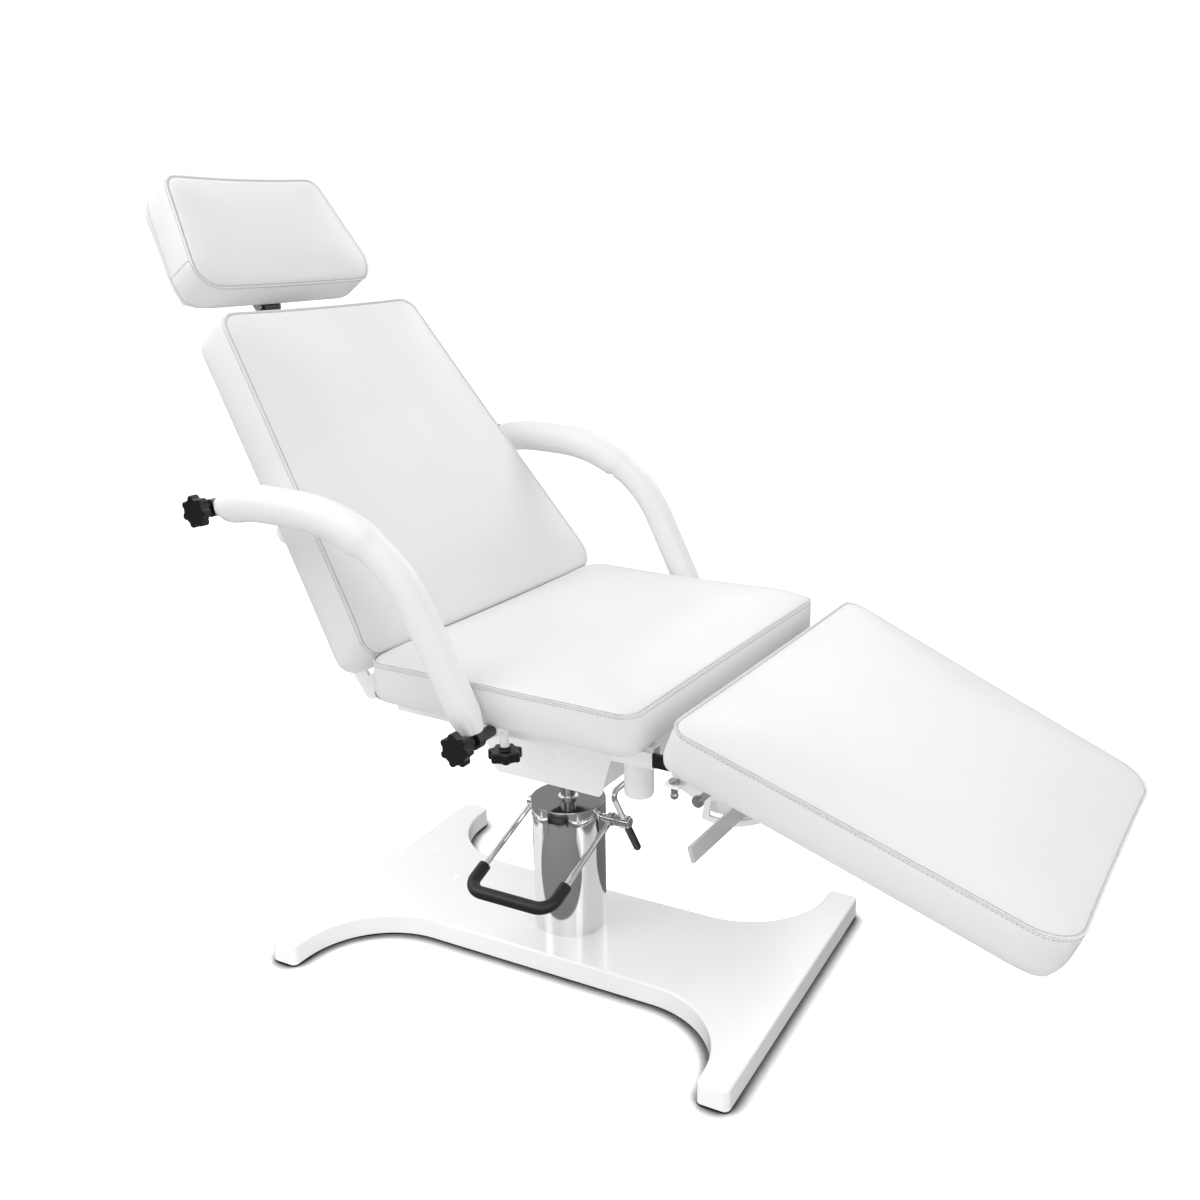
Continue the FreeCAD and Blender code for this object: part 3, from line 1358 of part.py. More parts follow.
def all_nodes():
    """Every sub-part by name."""
    nodes = {
        "base_plate": on_base(make_base_plate()),
        "base_glides": on_base(make_glides()),
        "pump_bolts": on_base(make_pump_bolts()),
        "pump_tank": on_base(make_pump_tank()),
        "ram_barrel": make_ram_barrel(),
        "pump_head": on_base(make_pump_head()),
        "pump_cover": on_base(make_pump_cover()),
        "pump_collar": on_base(make_pump_collar()),
        "gland_ring": make_gland_ring(),
        "cross_pins": on_base(make_cross_pins()),
        "lever_spring": on_base(make_lever_spring()),
        "pedal_frame": on_base(make_pedal_frame()),
        "pedal_sleeve": on_base(make_pedal_sleeve()),
        "brake_lever": on_base(make_brake_lever()),
        "lever_grip": on_base(make_lever_grip()),
        "lift_ram": make_lift_ram(),
        "ram_piston": make_ram_piston(),
        "thrust_washer": make_thrust_washer(),
        "swivel_hub": make_swivel_hub(),
        "carriage_box": make_carriage_box(),
        "frame_posts": make_frame_posts(),
        "seat_frame": make_seat_frame(),
        "arm_cross_tube": make_arm_cross_tube(),
        "arm_stubs": make_arm_stubs(),
        "seat_board": make_seat_board(),
        "seat_cushion": make_seat_cushion(),
        "leg_hinge_arms": make_leg_hinge_arms(),
        "stop_screws": make_stop_screws(),
        "back_hinge_lugs": make_back_hinge_lugs(),
        "hinge_pins": make_hinge_pins(),
        "stay_arms": make_stay_arms(),
        "lock_bar": make_lock_bar(),
        "leg_cushion": make_leg_cushion(),
        "leg_board": make_leg_board(),
        "leg_hinge_leaves": make_leg_hinge_leaves(),
        "leg_quadrants": make_leg_quadrants(),
        "quadrant_rod": make_quadrant_rod(),
        "back_cushion": make_back_cushion(),
        "back_board": make_back_board(),
        "back_hinge_plates": make_back_hinge_plates(),
        "arm_guides": make_arm_guides(),
        "head_sleeve": make_head_sleeve(),
        "head_lock_knob": make_head_lock_knob(),
        "head_bar": make_head_bar(),
        "head_lugs": make_head_lugs(),
        "head_pin": make_head_pin(),
        "head_cushion": make_head_cushion(),
        "head_board": make_head_board(),
    }
    for name, side in SIDES.items():
        nodes["arm_frame_" + name] = make_arm_frame(side)
        nodes["arm_pad_" + name] = make_arm_pad(side)
        nodes["arm_stud_" + name] = make_arm_stud(side)
        nodes["lower_arm_knob_" + name] = make_arm_knob(ARM_PIVOT_X, ARM_PIVOT_Z, side)
        nodes["upper_arm_knob_" + name] = make_arm_knob(*arm_eye(), side)
        nodes["clamp_knob_" + name] = make_clamp_knob(side)
    return nodes


os.makedirs("parts", exist_ok=True)
for node, shape in all_nodes().items():
    shape.exportStep("parts/" + node + ".step")
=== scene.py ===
import bpy
import json
from math import atan2, cos, exp, pi, radians, tanh
from mathutils import Matrix, Vector
from mathutils.bvhtree import BVHTree
from mathutils.kdtree import KDTree


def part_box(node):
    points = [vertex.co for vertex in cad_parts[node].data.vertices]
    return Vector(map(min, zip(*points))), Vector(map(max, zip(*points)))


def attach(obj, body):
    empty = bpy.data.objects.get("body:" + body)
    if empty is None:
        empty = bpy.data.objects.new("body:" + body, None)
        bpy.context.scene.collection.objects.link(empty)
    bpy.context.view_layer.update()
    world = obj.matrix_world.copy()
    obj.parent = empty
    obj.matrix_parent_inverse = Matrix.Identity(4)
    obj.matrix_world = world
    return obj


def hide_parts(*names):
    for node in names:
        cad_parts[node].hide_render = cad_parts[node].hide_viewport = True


# White treatment chair on a foot pump. Metres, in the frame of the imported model:
# +X to the foot end, +Y to the sitter's left, +Z up, the floor at zero.

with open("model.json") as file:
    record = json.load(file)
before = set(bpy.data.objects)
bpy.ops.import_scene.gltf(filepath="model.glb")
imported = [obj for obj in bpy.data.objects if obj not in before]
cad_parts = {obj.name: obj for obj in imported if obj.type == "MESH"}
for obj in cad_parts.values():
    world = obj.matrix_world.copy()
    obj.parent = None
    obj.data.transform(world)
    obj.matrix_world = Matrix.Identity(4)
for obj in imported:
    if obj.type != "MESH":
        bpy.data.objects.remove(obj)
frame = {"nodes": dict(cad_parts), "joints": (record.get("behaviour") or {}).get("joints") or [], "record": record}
nodes = frame["nodes"]
joints = {joint["name"]: joint for joint in frame["joints"]}
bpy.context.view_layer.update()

# Cushions, each laid level as it is sewn. Slack scales the crown and reach limits how far it can swell.
# Draw is how far the rear, the front and the sides pull in. Tuck is how far the front corners round
# off, at the seam and at the bottom. Roll is how far the foam bulges over the front seam.
SEAT = dict(rear=-0.142, front=0.298, half_rear=0.301, half_front=0.301, corners=(0.030, 0.030),
            low=0.501, seam=0.561, slack=0.80, reach=0.010, fill=0.8,
            draw=(0.001, 0.002, 0.002), tuck=(0.0, 0.0), roll=0.0)
BACK = dict(rear=-0.770, front=-0.206, half_rear=0.219, half_front=0.302, corners=(0.030, 0.030),
            low=0.484, seam=0.561, slack=0.70, reach=0.009, fill=0.85,
            draw=(0.003, 0.0, 0.002), tuck=(0.0, 0.0), roll=0.0055)
LEG = dict(rear=0.321, front=0.840, half_rear=0.311, half_front=0.258, corners=(0.030, 0.060),
           low=0.500, seam=0.561, slack=0.70, reach=0.009, fill=0.85,
           draw=(0.001, 0.002, 0.002), tuck=(0.0, 0.0), roll=0.0)
HEAD = dict(rear=-1.026, front=-0.827, half_rear=0.163, half_front=0.204, corners=(0.026, 0.040),
            low=0.468, seam=0.538, slack=0.80, reach=0.009, fill=0.9,
            draw=(0.005, -0.002, 0.001), tuck=(0.006, 0.004), roll=0.0)
TUCK_REACH = 0.070
ROLL_REACH = 0.050
ROLL_DROP = 0.014
ROLL_HIDES = 0.009
HEAD_TILT = 3.8
LEG_ANGLE = 21.3
BACK_ANGLE = 54.6
CLOTH_VOXEL = 0.0065
CLOTH_FRAMES = 20
CLOTH_QUALITY = 5
CLOTH_PRESSURE = 4.0
SEAM_HOLD = 0.005
BOTTOM_HOLD = 0.002
COVER_UNDER = 0.0026
POCKET_INSET = 0.010
POCKET_HEIGHT = 0.020
POCKET_ROUND = 0.45
COVER_SMOOTH = 8
EDGE_SAMPLES = 8
CORNER_STEPS = 8
SIDE_CUTS = 40
STRIP_WIDTH = 0.0064
STRIP_THICK = 0.0012
STRIP_LIFT = 0.0004
STRIP_LEAN = 45
CREASE_RADIUS = 0.0006
CREASE_IN = 0.0039
CREASE_DROP = 0.0045
HEM_RISE = 0.010
JOIN_AT = 0.052
JOIN_STEPS = 12
STITCH_LIFT = 0.0006
STITCH_LENGTH = 0.0042
STITCH_GAP = 0.0018
STITCH_RADIUS = 0.0005

# Armrest sleeves
PAD_VOXEL = 0.0042
PAD_SWELL = 0.0022
PAD_SMOOTH = 24
PAD_AXES = (((0.071, 0.496), (-0.038, 0.712)), ((-0.3782, 0.767), (-0.298, 0.782)))
GATHER_FOLDS = 8
GATHER_REACH = 0.034
GATHER_DEPTH = 0.09
GATHER_TAPER = 0.22
GATHER_STRETCH = 0.007
GATHER_FAR = 0.36     # from a bar's foot, past which no point is looked at
GATHER_ASIDE = 0.04   # from the bar's line
NOTCH_AT = (-0.0895, 0.7430)
NOTCH_WAY = (-0.80, 0.60)
NOTCH_WIDTH = 0.0040
NOTCH_DEPTH = 0.0075
PAD_CORE = 0.0245

# Knobs
KNOB_VOXEL = 0.0009
KNOB_SMOOTH = 8

# Camera, fitted to the photograph
CAMERA_PLACE = (1.01681, -1.52822, 1.14122)
CAMERA_AZIMUTH = 31.86
CAMERA_PITCH = 16.66
CAMERA_ROLL = -0.98
CAMERA_LENS = 37.12
CAMERA_FRAME = 36
# Reach and ramp of the floor's painted contact shadow, taken from ambient occlusion.
SHADOW_REACH = 0.032
SHADOW_RAMP = (0.57, 0.96)
FLOOR_TONE = 0.72
MIRRORED_FLOOR = 0.22
WORLD_LIGHT = 0.66
# The pump lid's flat top carries a painted dark reflection; LID_EDGE gives how far below the top it starts and
# ends.
LID_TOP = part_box("pump_collar")[1].z
LID_EDGE = (0.0012, 0.0004)   # below the top, where the tone starts and ends its change
HINGE_BLACK = (0.298, 0.328)
# Tones of the room round the horizon, by share of a turn from -X through -Y
ROOM_TONES = ((0.10, 0.9), (0.16, 0.05), (0.24, 0.08), (0.30, 1.0), (0.38, 0.9), (0.45, 0.04), (0.52, 0.1),
              (0.60, 1.0), (0.80, 1.0))

SIDES = ("right", "left")


# Helpers

def deselect_all():
    if bpy.context.object and bpy.context.object.mode != "OBJECT":
        bpy.ops.object.mode_set(mode="OBJECT")
    bpy.ops.object.select_all(action="DESELECT")


def take(piece):
    """Select one piece alone and make it the active one."""
    deselect_all()
    piece.select_set(True)
    bpy.context.view_layer.objects.active = piece


def new_piece(name):
    """Name the primitive that was just added."""
    piece = bpy.context.object
    piece.name = name
    piece.data.name = name
    return piece


def settle(piece):
    """Put the piece's place, turn and size into its mesh."""
    take(piece)
    bpy.ops.object.transform_apply(location=True, rotation=True, scale=True)


def pick(piece, kind, test):
    """In edit mode, select only what passes a test on its middle."""
    bpy.ops.mesh.select_mode(type=kind)
    bpy.ops.mesh.select_all(action="DESELECT")
    bpy.ops.object.mode_set(mode="OBJECT")
    mesh = piece.data
    if kind == "VERT":
        for vert in mesh.vertices:
            vert.select = test(vert.co, vert.normal)
    if kind == "EDGE":
        for edge in mesh.edges:
            ends = [mesh.vertices[i].co for i in edge.vertices]
            edge.select = test((ends[0] + ends[1]) / 2, (ends[1] - ends[0]).normalized())
    if kind == "FACE":
        for face in mesh.polygons:
            face.select = test(face.center, face.normal)
    bpy.ops.object.mode_set(mode="EDIT")


def use_modifier(piece, kind, **settings):
    """Add a modifier, set it and apply it."""
    take(piece)
    modifier = piece.modifiers.new(kind.title(), kind)
    for key, value in settings.items():
        setattr(modifier, key, value)
    bpy.ops.object.modifier_apply(modifier=modifier.name)


def copied(source, name):
    """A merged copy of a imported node, free to be shaped."""
    piece = source.copy()
    piece.data = source.data.copy()
    for key in list(piece.keys()):
        del piece[key]
    piece.parent = None
    piece.name = name
    bpy.context.scene.collection.objects.link(piece)
    take(piece)
    bpy.ops.object.mode_set(mode="EDIT")
    bpy.ops.mesh.select_all(action="SELECT")
    bpy.ops.mesh.remove_doubles(threshold=1e-5)
    bpy.ops.object.mode_set(mode="OBJECT")
    piece.data.materials.clear()
    return piece


def moved(piece, matrix):
    """Carry a piece's points, the object staying at the origin."""
    piece.data.transform(matrix)
    return piece


def wear(piece, material):
    piece.data.materials.clear()
    piece.data.materials.append(material)


# Materials

def plain_material(name, colour, roughness, metallic=0.0):
    """Principled material and its node tree."""
    material = bpy.data.materials.new(name)
    material.use_nodes = True
    shader = material.node_tree.nodes["Principled BSDF"]
    shader.inputs["Base Color"].default_value = (*colour, 1)
    shader.inputs["Roughness"].default_value = roughness
    shader.inputs["Metallic"].default_value = metallic
    return material, material.node_tree, shader


def add_node(tree, kind, **settings):
    node = tree.nodes.new(kind)
    for key, value in settings.items():
        if key in node.inputs:
            node.inputs[key].default_value = value
        else:
            setattr(node, key, value)
    return node


def object_noise(tree, scale, detail=2.0, stretch=(1, 1, 1)):
    """Noise in object space, the same on every side of a piece."""
    place = add_node(tree, "ShaderNodeTexCoord")
    mapping = add_node(tree, "ShaderNodeMapping")
    mapping.inputs["Scale"].default_value = stretch
    noise = add_node(tree, "ShaderNodeTexNoise", Scale=scale, Detail=detail)
    tree.links.new(place.outputs["Object"], mapping.inputs["Vector"])
    tree.links.new(mapping.outputs["Vector"], noise.inputs["Vector"])
    return noise


def vary_colour(tree, shader, noise, dark, light):
    """Let the noise move the colour between two close tones."""
    ramp = add_node(tree, "ShaderNodeValToRGB")
    ramp.color_ramp.elements[0].position = 0.35
    ramp.color_ramp.elements[1].position = 0.65
    ramp.color_ramp.elements[0].color = (*dark, 1)
    ramp.color_ramp.elements[1].color = (*light, 1)
    tree.links.new(noise.outputs["Fac"], ramp.inputs["Fac"])
    tree.links.new(ramp.outputs["Color"], shader.inputs["Base Color"])


def vary_roughness(tree, shader, noise, low, high):
    span = add_node(tree, "ShaderNodeMapRange")
    span.inputs["To Min"].default_value = low
    span.inputs["To Max"].default_value = high
    tree.links.new(noise.outputs["Fac"], span.inputs["Value"])
    tree.links.new(span.outputs["Result"], shader.inputs["Roughness"])


def add_bump(tree, shader, height, strength, distance, below=None):
    bump = add_node(tree, "ShaderNodeBump", Strength=strength, Distance=distance)
    tree.links.new(height, bump.inputs["Height"])
    if below:
        tree.links.new(below.outputs["Normal"], bump.inputs["Normal"])
    tree.links.new(bump.outputs["Normal"], shader.inputs["Normal"])
    return bump


def leather_material(name, white):
    """White upholstery leather: pebbled grain, soft dents and a satin face."""
    material, tree, shader = plain_material(name, (white, white, white), 0.42)
    shader.inputs["Specular IOR Level"].default_value = 0.45
    shader.inputs["Coat Weight"].default_value = 0.08
    shader.inputs["Coat Roughness"].default_value = 0.35
    tone = object_noise(tree, 5.0, 3.0)
    dark = (white - 0.01, white - 0.01, white - 0.01)
    vary_colour(tree, shader, tone, dark, (white + 0.01, white + 0.01, white + 0.006))
    vary_roughness(tree, shader, object_noise(tree, 38.0, 4.0), 0.36, 0.48)
    place = add_node(tree, "ShaderNodeTexCoord")
    grain = add_node(tree, "ShaderNodeTexVoronoi", Scale=620.0)
    tree.links.new(place.outputs["Object"], grain.inputs["Vector"])
    dents = object_noise(tree, 14.0, 2.0)
    soft = add_bump(tree, shader, dents.outputs["Fac"], 0.25, 0.004)
    add_bump(tree, shader, grain.outputs["Distance"], 0.18, 0.0004, soft)
    return material


def painted_crease_shade_material():
    """Grey of the seam cords: painted shade in the folds where thread pulls the cover in."""
    material, tree, shader = plain_material("seam_painted_shade", (0.50, 0.50, 0.495), 0.6)
    vary_colour(tree, shader, object_noise(tree, 160.0, 2.0), (0.44, 0.44, 0.435), (0.56, 0.56, 0.555))
    add_bump(tree, shader, object_noise(tree, 900.0, 2.0).outputs["Fac"], 0.3, 0.0002)
    return material


def lid_chrome_painted_reflection_material():
    """Chrome whose flat top, above the rim's height, is left duller and darker: a painted dark reflection in its
    colour.
    """
    material, tree, shader = plain_material("lid_chrome_painted_dark_top", (0.80, 0.80, 0.81), 0.06, 1.0)
    place = add_node(tree, "ShaderNodeTexCoord")
    parts = add_node(tree, "ShaderNodeSeparateXYZ")
    high = add_node(tree, "ShaderNodeMapRange")
    high.inputs["From Min"].default_value = LID_TOP - LID_EDGE[0]
    high.inputs["From Max"].default_value = LID_TOP - LID_EDGE[1]
    tone = add_node(tree, "ShaderNodeValToRGB")
    tone.color_ramp.elements[0].color = (0.80, 0.80, 0.81, 1)
    tone.color_ramp.elements[1].color = (0.16, 0.16, 0.165, 1)
    tree.links.new(place.outputs["Object"], parts.inputs["Vector"])
    tree.links.new(parts.outputs["Z"], high.inputs["Value"])
    tree.links.new(high.outputs["Result"], tone.inputs["Fac"])
    tree.links.new(tone.outputs["Color"], shader.inputs["Base Color"])
    vary_roughness(tree, shader, object_noise(tree, 90.0, 4.0), 0.05, 0.12)
    return material


def hinge_arm_material():
    """White paint with a black stretch between the seat and the leg rest, given by HINGE_BLACK."""
    material, tree, shader = plain_material("hinge_arm_paint", (0.95, 0.95, 0.95), 0.3)
    place = add_node(tree, "ShaderNodeTexCoord")
    parts = add_node(tree, "ShaderNodeSeparateXYZ")
    along = add_node(tree, "ShaderNodeMapRange")
    along.inputs["From Min"].default_value, along.inputs["From Max"].default_value = HINGE_BLACK
    tone = add_node(tree, "ShaderNodeValToRGB")
    tone.color_ramp.interpolation = "CONSTANT"
    tone.color_ramp.elements[0].color = (0.95, 0.95, 0.95, 1)
    tone.color_ramp.elements[1].color = (0.95, 0.95, 0.95, 1)
    tone.color_ramp.elements.new(0.001).color = (0.006, 0.006, 0.006, 1)
    tone.color_ramp.elements[-1].position = 0.999
    tree.links.new(place.outputs["Object"], parts.inputs["Vector"])
    tree.links.new(parts.outputs["X"], along.inputs["Value"])
    tree.links.new(along.outputs["Result"], tone.inputs["Fac"])
    tree.links.new(tone.outputs["Color"], shader.inputs["Base Color"])
    vary_roughness(tree, shader, object_noise(tree, 30.0, 2.0), 0.26, 0.34)
    return material


def paint_material(name, colour, roughness, peel):
    """Powder coat with a little orange peel."""
    material, tree, shader = plain_material(name, colour, roughness)
    shader.inputs["Coat Weight"].default_value = 0.8
    shader.inputs["Coat Roughness"].default_value = 0.16
    vary_roughness(tree, shader, object_noise(tree, 30.0, 2.0), roughness - 0.03, roughness + 0.03)
    add_bump(tree, shader, object_noise(tree, 260.0, 1.0).outputs["Fac"], peel, 0.0002)
    return material


def polished_material(name, colour, low, high):
    """Plated metal with faint wiping marks."""
    material, tree, shader = plain_material(name, colour, low, 1.0)
    marks = object_noise(tree, 90.0, 4.0, (1, 1, 0.15))
    vary_roughness(tree, shader, marks, low, high)
    add_bump(tree, shader, object_noise(tree, 25.0, 2.0).outputs["Fac"], 0.04, 0.0006)
    return material


def brushed_material(name, colour, roughness, stretch, metallic=1.0):
    material, tree, shader = plain_material(name, colour, roughness, metallic)
    lines = object_noise(tree, 220.0, 5.0, stretch)
    vary_roughness(tree, shader, lines, roughness - 0.08, roughness + 0.12)
    add_bump(tree, shader, lines.outputs["Fac"], 0.12, 0.0002)
    return material


def moulded_material(name, colour, roughness, grain_scale, depth, strength=0.3):
    """Rubber or plastic with a fine moulded texture."""
    material, tree, shader = plain_material(name, colour, roughness)
    vary_roughness(tree, shader, object_noise(tree, 45.0, 3.0), roughness - 0.06, roughness + 0.08)
    add_bump(tree, shader, object_noise(tree, grain_scale, 2.0).outputs["Fac"], strength, depth)
    return material


def plywood_material():
    material, tree, shader = plain_material("plywood", (0.62, 0.46, 0.29), 0.7)
    layers = add_node(tree, "ShaderNodeTexWave", Scale=120.0, Distortion=1.5, Detail=3.0)
    layers.bands_direction = "Z"
    place = add_node(tree, "ShaderNodeTexCoord")
    tree.links.new(place.outputs["Object"], layers.inputs["Vector"])
    vary_colour(tree, shader, layers, (0.50, 0.36, 0.22), (0.66, 0.50, 0.32))
    add_bump(tree, shader, object_noise(tree, 180.0, 4.0, (0.1, 1, 1)).outputs["Fac"], 0.2, 0.0004)
    return material


finishes = {
    "white_leather": leather_material("white_leather", 0.81),
    "plywood": plywood_material(),
    "white_paint": paint_material("white_powder_coat", (0.95, 0.95, 0.95), 0.26, 0.03),
    "black_paint": paint_material("black_powder_coat", (0.006, 0.006, 0.006), 0.34, 0.05),
    "chrome": polished_material("chrome", (0.80, 0.80, 0.81), 0.06, 0.12),
    "zinc": brushed_material("zinc_plate", (0.56, 0.55, 0.53), 0.32, (1, 0.1, 1)),
    "steel": brushed_material("machined_steel", (0.48, 0.48, 0.49), 0.35, (1, 1, 0.1)),
    "casting": moulded_material("cast_iron", (0.10, 0.10, 0.105), 0.6, 300.0, 0.0006),
    "black_rubber": moulded_material("black_rubber", (0.007, 0.007, 0.007), 0.45, 700.0, 0.0003),
    "black_plastic": moulded_material("black_plastic", (0.005, 0.005, 0.005), 0.24, 500.0, 0.00015, 0.1),
}
# Grey for the seam cords: painted shade of the seam folds, not a colour of the leather.
painted_crease_shade = painted_crease_shade_material()
# A lighter copy of the white leather for the arm sleeves: painted light that makes them brighter than the
# cushions.
sleeve_leather_painted_light = leather_material("sleeve_leather_lit_copy", 0.87)
# Nodes whose finish differs from the rest of their slot
special = {
    # The pump collar's chrome has a painted dark reflection on its top.
    "pump_collar": lid_chrome_painted_reflection_material(),
    "leg_hinge_arms": hinge_arm_material(),
    "lock_bar": brushed_material("aluminium", (0.74, 0.74, 0.75), 0.4, (1, 0.1, 1), 0.5),
}

for part in frame["record"]["subparts"]:
    shown = nodes[part["node"]]
    shown.data.materials.clear()
    shown.data.materials.append(special.get(part["node"], finishes[part["material_slot"]]))


# Cushions

def about(degrees_down, x, z):
    """Turn about an axis across the chair, the foot end going down."""
    place = Matrix.Translation((x, 0, z))
    return place @ Matrix.Rotation(radians(degrees_down), 4, "Y") @ place.inverted()


def seam_curve(name, size, grow, lower):
    """Closed curve beside the sewn edge, drawn level: grow widens it, lower drops it."""
    length = size["front"] - size["rear"]
    middle = (size["front"] + size["rear"]) / 2
    deselect_all()
    bpy.ops.mesh.primitive_plane_add(size=1, location=(middle, 0, size["seam"] - lower))
    ring = new_piece(name)
    ring.scale = (length + 2 * grow, 2 * (size["half_rear"] + grow), 1)
    settle(ring)
    bpy.ops.object.mode_set(mode="EDIT")
    pick(ring, "VERT", lambda co, normal: co.x > middle)
    widen = (size["half_front"] + grow) / (size["half_rear"] + grow)
    bpy.ops.transform.resize(value=(1, widen, 1), center_override=(middle, 0, 0))
    for end, radius in ((-1, size["corners"][0]), (1, size["corners"][1])):
        pick(ring, "VERT", lambda co, normal: (co.x - middle) * end > length / 3)
        bpy.ops.mesh.bevel(offset=radius + grow, segments=CORNER_STEPS, affect="VERTICES")
    bpy.ops.mesh.select_mode(type="FACE")
    bpy.ops.mesh.select_all(action="SELECT")
    bpy.ops.mesh.delete(type="ONLY_FACE")
    pick(ring, "EDGE", lambda co, way: abs(way.x) > 0.9 or abs(way.y) > 0.9)
    bpy.ops.mesh.subdivide(number_cuts=SIDE_CUTS)
    bpy.ops.object.mode_set(mode="OBJECT")
    take(ring)
    bpy.ops.object.convert(target="CURVE")
    return ring


def open_curve(name, start, step, count):
    """Straight open curve of equal steps from a spot."""
    deselect_all()
    bpy.ops.mesh.primitive_plane_add(size=0.001, location=start)
    path = new_piece(name)
    settle(path)
    bpy.ops.object.mode_set(mode="EDIT")
    bpy.ops.mesh.select_mode(type="VERT")
    bpy.ops.mesh.select_all(action="SELECT")
    bpy.ops.mesh.merge(type="CENTER")
    for number in range(count):
        bpy.ops.mesh.extrude_vertices_move(TRANSFORM_OT_translate={"value": step})
    bpy.ops.object.mode_set(mode="OBJECT")
    take(path)
    bpy.ops.object.convert(target="CURVE")
    return path


def lay_on(ring, surface, lift):
    """Rest every point of a curve on a cushion's surface."""
    for point in ring.data.splines[0].points:
        spot, normal = surface.find_nearest(Vector(point.co[:3]))[:2]
        point.co = (*(spot + normal * lift), 1)


def seam_strip(ring, name):
    """Flat folded strip of cover that is sewn down along the edge."""
    take(ring)
    ring.name = name
    shape = ring.data
    shape.twist_mode = "Z_UP"
    shape.extrude = STRIP_WIDTH / 2 - STRIP_THICK / 2
    shape.bevel_depth = STRIP_THICK / 2
    shape.bevel_resolution = 2
    points = shape.splines[0].points
    ends = [Vector(p.co[:3]) for p in points]
    area = sum(a.x * b.y - b.x * a.y for a, b in zip(ends, ends[1:] + ends[:1]))
    for point in points:
        point.tilt = radians(STRIP_LEAN) * (1 if area > 0 else -1)
    bpy.ops.object.convert(target="MESH")
    bpy.ops.object.shade_smooth()
    return ring


def shade_cord(ring):
    """Fine line of a seam: a thin cord half sunk in the cover, which wears the painted shade of the fold."""
    take(ring)
    ring.data.bevel_depth = CREASE_RADIUS
    ring.data.bevel_resolution = 1
    bpy.ops.object.convert(target="MESH")
    bpy.ops.object.shade_smooth()
    return ring


def joined(pieces, name):
    deselect_all()
    for piece in pieces:
        piece.select_set(True)
    bpy.context.view_layer.objects.active = pieces[0]
    bpy.ops.object.join()
    pieces[0].name = name
    pieces[0].data.name = name
    return pieces[0]


def stitch_row(ring, name):
    """A row of thread stitches along a curve."""
    deselect_all()
    bpy.ops.mesh.primitive_uv_sphere_add(segments=6, ring_count=4, radius=1, rotation=(0, pi / 2, 0))
    row = new_piece(name)
    row.scale = (STITCH_RADIUS, STITCH_RADIUS, STITCH_LENGTH / 2)
    settle(row)
    array = row.modifiers.new("Row", "ARRAY")
    array.fit_type = "FIT_CURVE"
    array.curve = ring
    array.use_relative_offset = False
    array.use_constant_offset = True
    array.constant_offset_displace = (STITCH_LENGTH + STITCH_GAP, 0, 0)
    bend = row.modifiers.new("Follow", "CURVE")
    bend.object = ring
    take(row)
    bpy.ops.object.modifier_apply(modifier="Row")
    bpy.ops.object.modifier_apply(modifier="Follow")
    bpy.ops.object.shade_smooth()
    bpy.data.objects.remove(ring)
    return row


def inflate(piece, held, reach):
    """Blow the cover up like cloth over foam: sewn edges stay, and no point moves past a reach."""
    group = piece.vertex_groups.new(name="held")
    group.add([v.index for v in piece.data.vertices if held(v.co)], 1.0, "REPLACE")
    before = [v.co.copy() for v in piece.data.vertices]
    take(piece)
    cloth = piece.modifiers.new("Cover", "CLOTH")
    cloth.settings.vertex_group_mass = "held"
    cloth.settings.use_pressure = True
    cloth.settings.uniform_pressure_force = CLOTH_PRESSURE
    cloth.settings.quality = CLOTH_QUALITY
    cloth.settings.effector_weights.gravity = 0
    cloth.point_cache.frame_start = 1
    cloth.point_cache.frame_end = CLOTH_FRAMES
    for number in range(1, CLOTH_FRAMES + 1):
        bpy.context.scene.frame_set(number)
    bpy.ops.object.modifier_apply(modifier="Cover")
    bpy.context.scene.frame_set(1)
    for vert, start in zip(piece.data.vertices, before):
        shift = vert.co - start
        if shift.length > 0:
            vert.co = start + shift * (reach * tanh(shift.length / reach) / shift.length)
    piece.vertex_groups.clear()


def half_width(size, x):
    share = (x - size["rear"]) / (size["front"] - size["rear"])
    return size["half_rear"] + (size["half_front"] - size["half_rear"]) * share


def drawn_in(size, spot):
    """Where a spot of the level cushion goes when the cover pulls tight round its foam."""
    middle = (size["front"] + size["rear"]) / 2
    share = (spot.x - middle) / (size["front"] - size["rear"]) * 2
    half = half_width(size, spot.x)
    across = min(1.0, abs(spot.y) / half)
    rear, front, side = size["draw"]
    shift = -share * (front if share > 0 else rear) * (1 - across ** 2)
    near_front = max(0.0, 1 - (size["front"] - spot.x) / ROLL_REACH)
    over = min(1.0, max(0.0, (spot.z - size["seam"] + ROLL_DROP) / ROLL_DROP))
    shift += size["roll"] * over * near_front ** 2
    squeeze = 1 - side / half * (1 - min(1.0, abs(share)) ** 2)
    drawn = Vector((spot.x + shift, spot.y * squeeze, spot.z))
    way = Vector((1, 1 if spot.y > 0 else -1, 0))
    corner = Vector((size["front"], way.y * size["half_front"], spot.z))
    near = max(0.0, 1 - (spot - corner).length / TUCK_REACH)
    depth = min(1.0, max(0.0, (size["seam"] - spot.z) / (size["seam"] - size["low"])))
    high, low = size["tuck"]
    return drawn - way.normalized() * (high + (low - high) * depth) * near ** 2


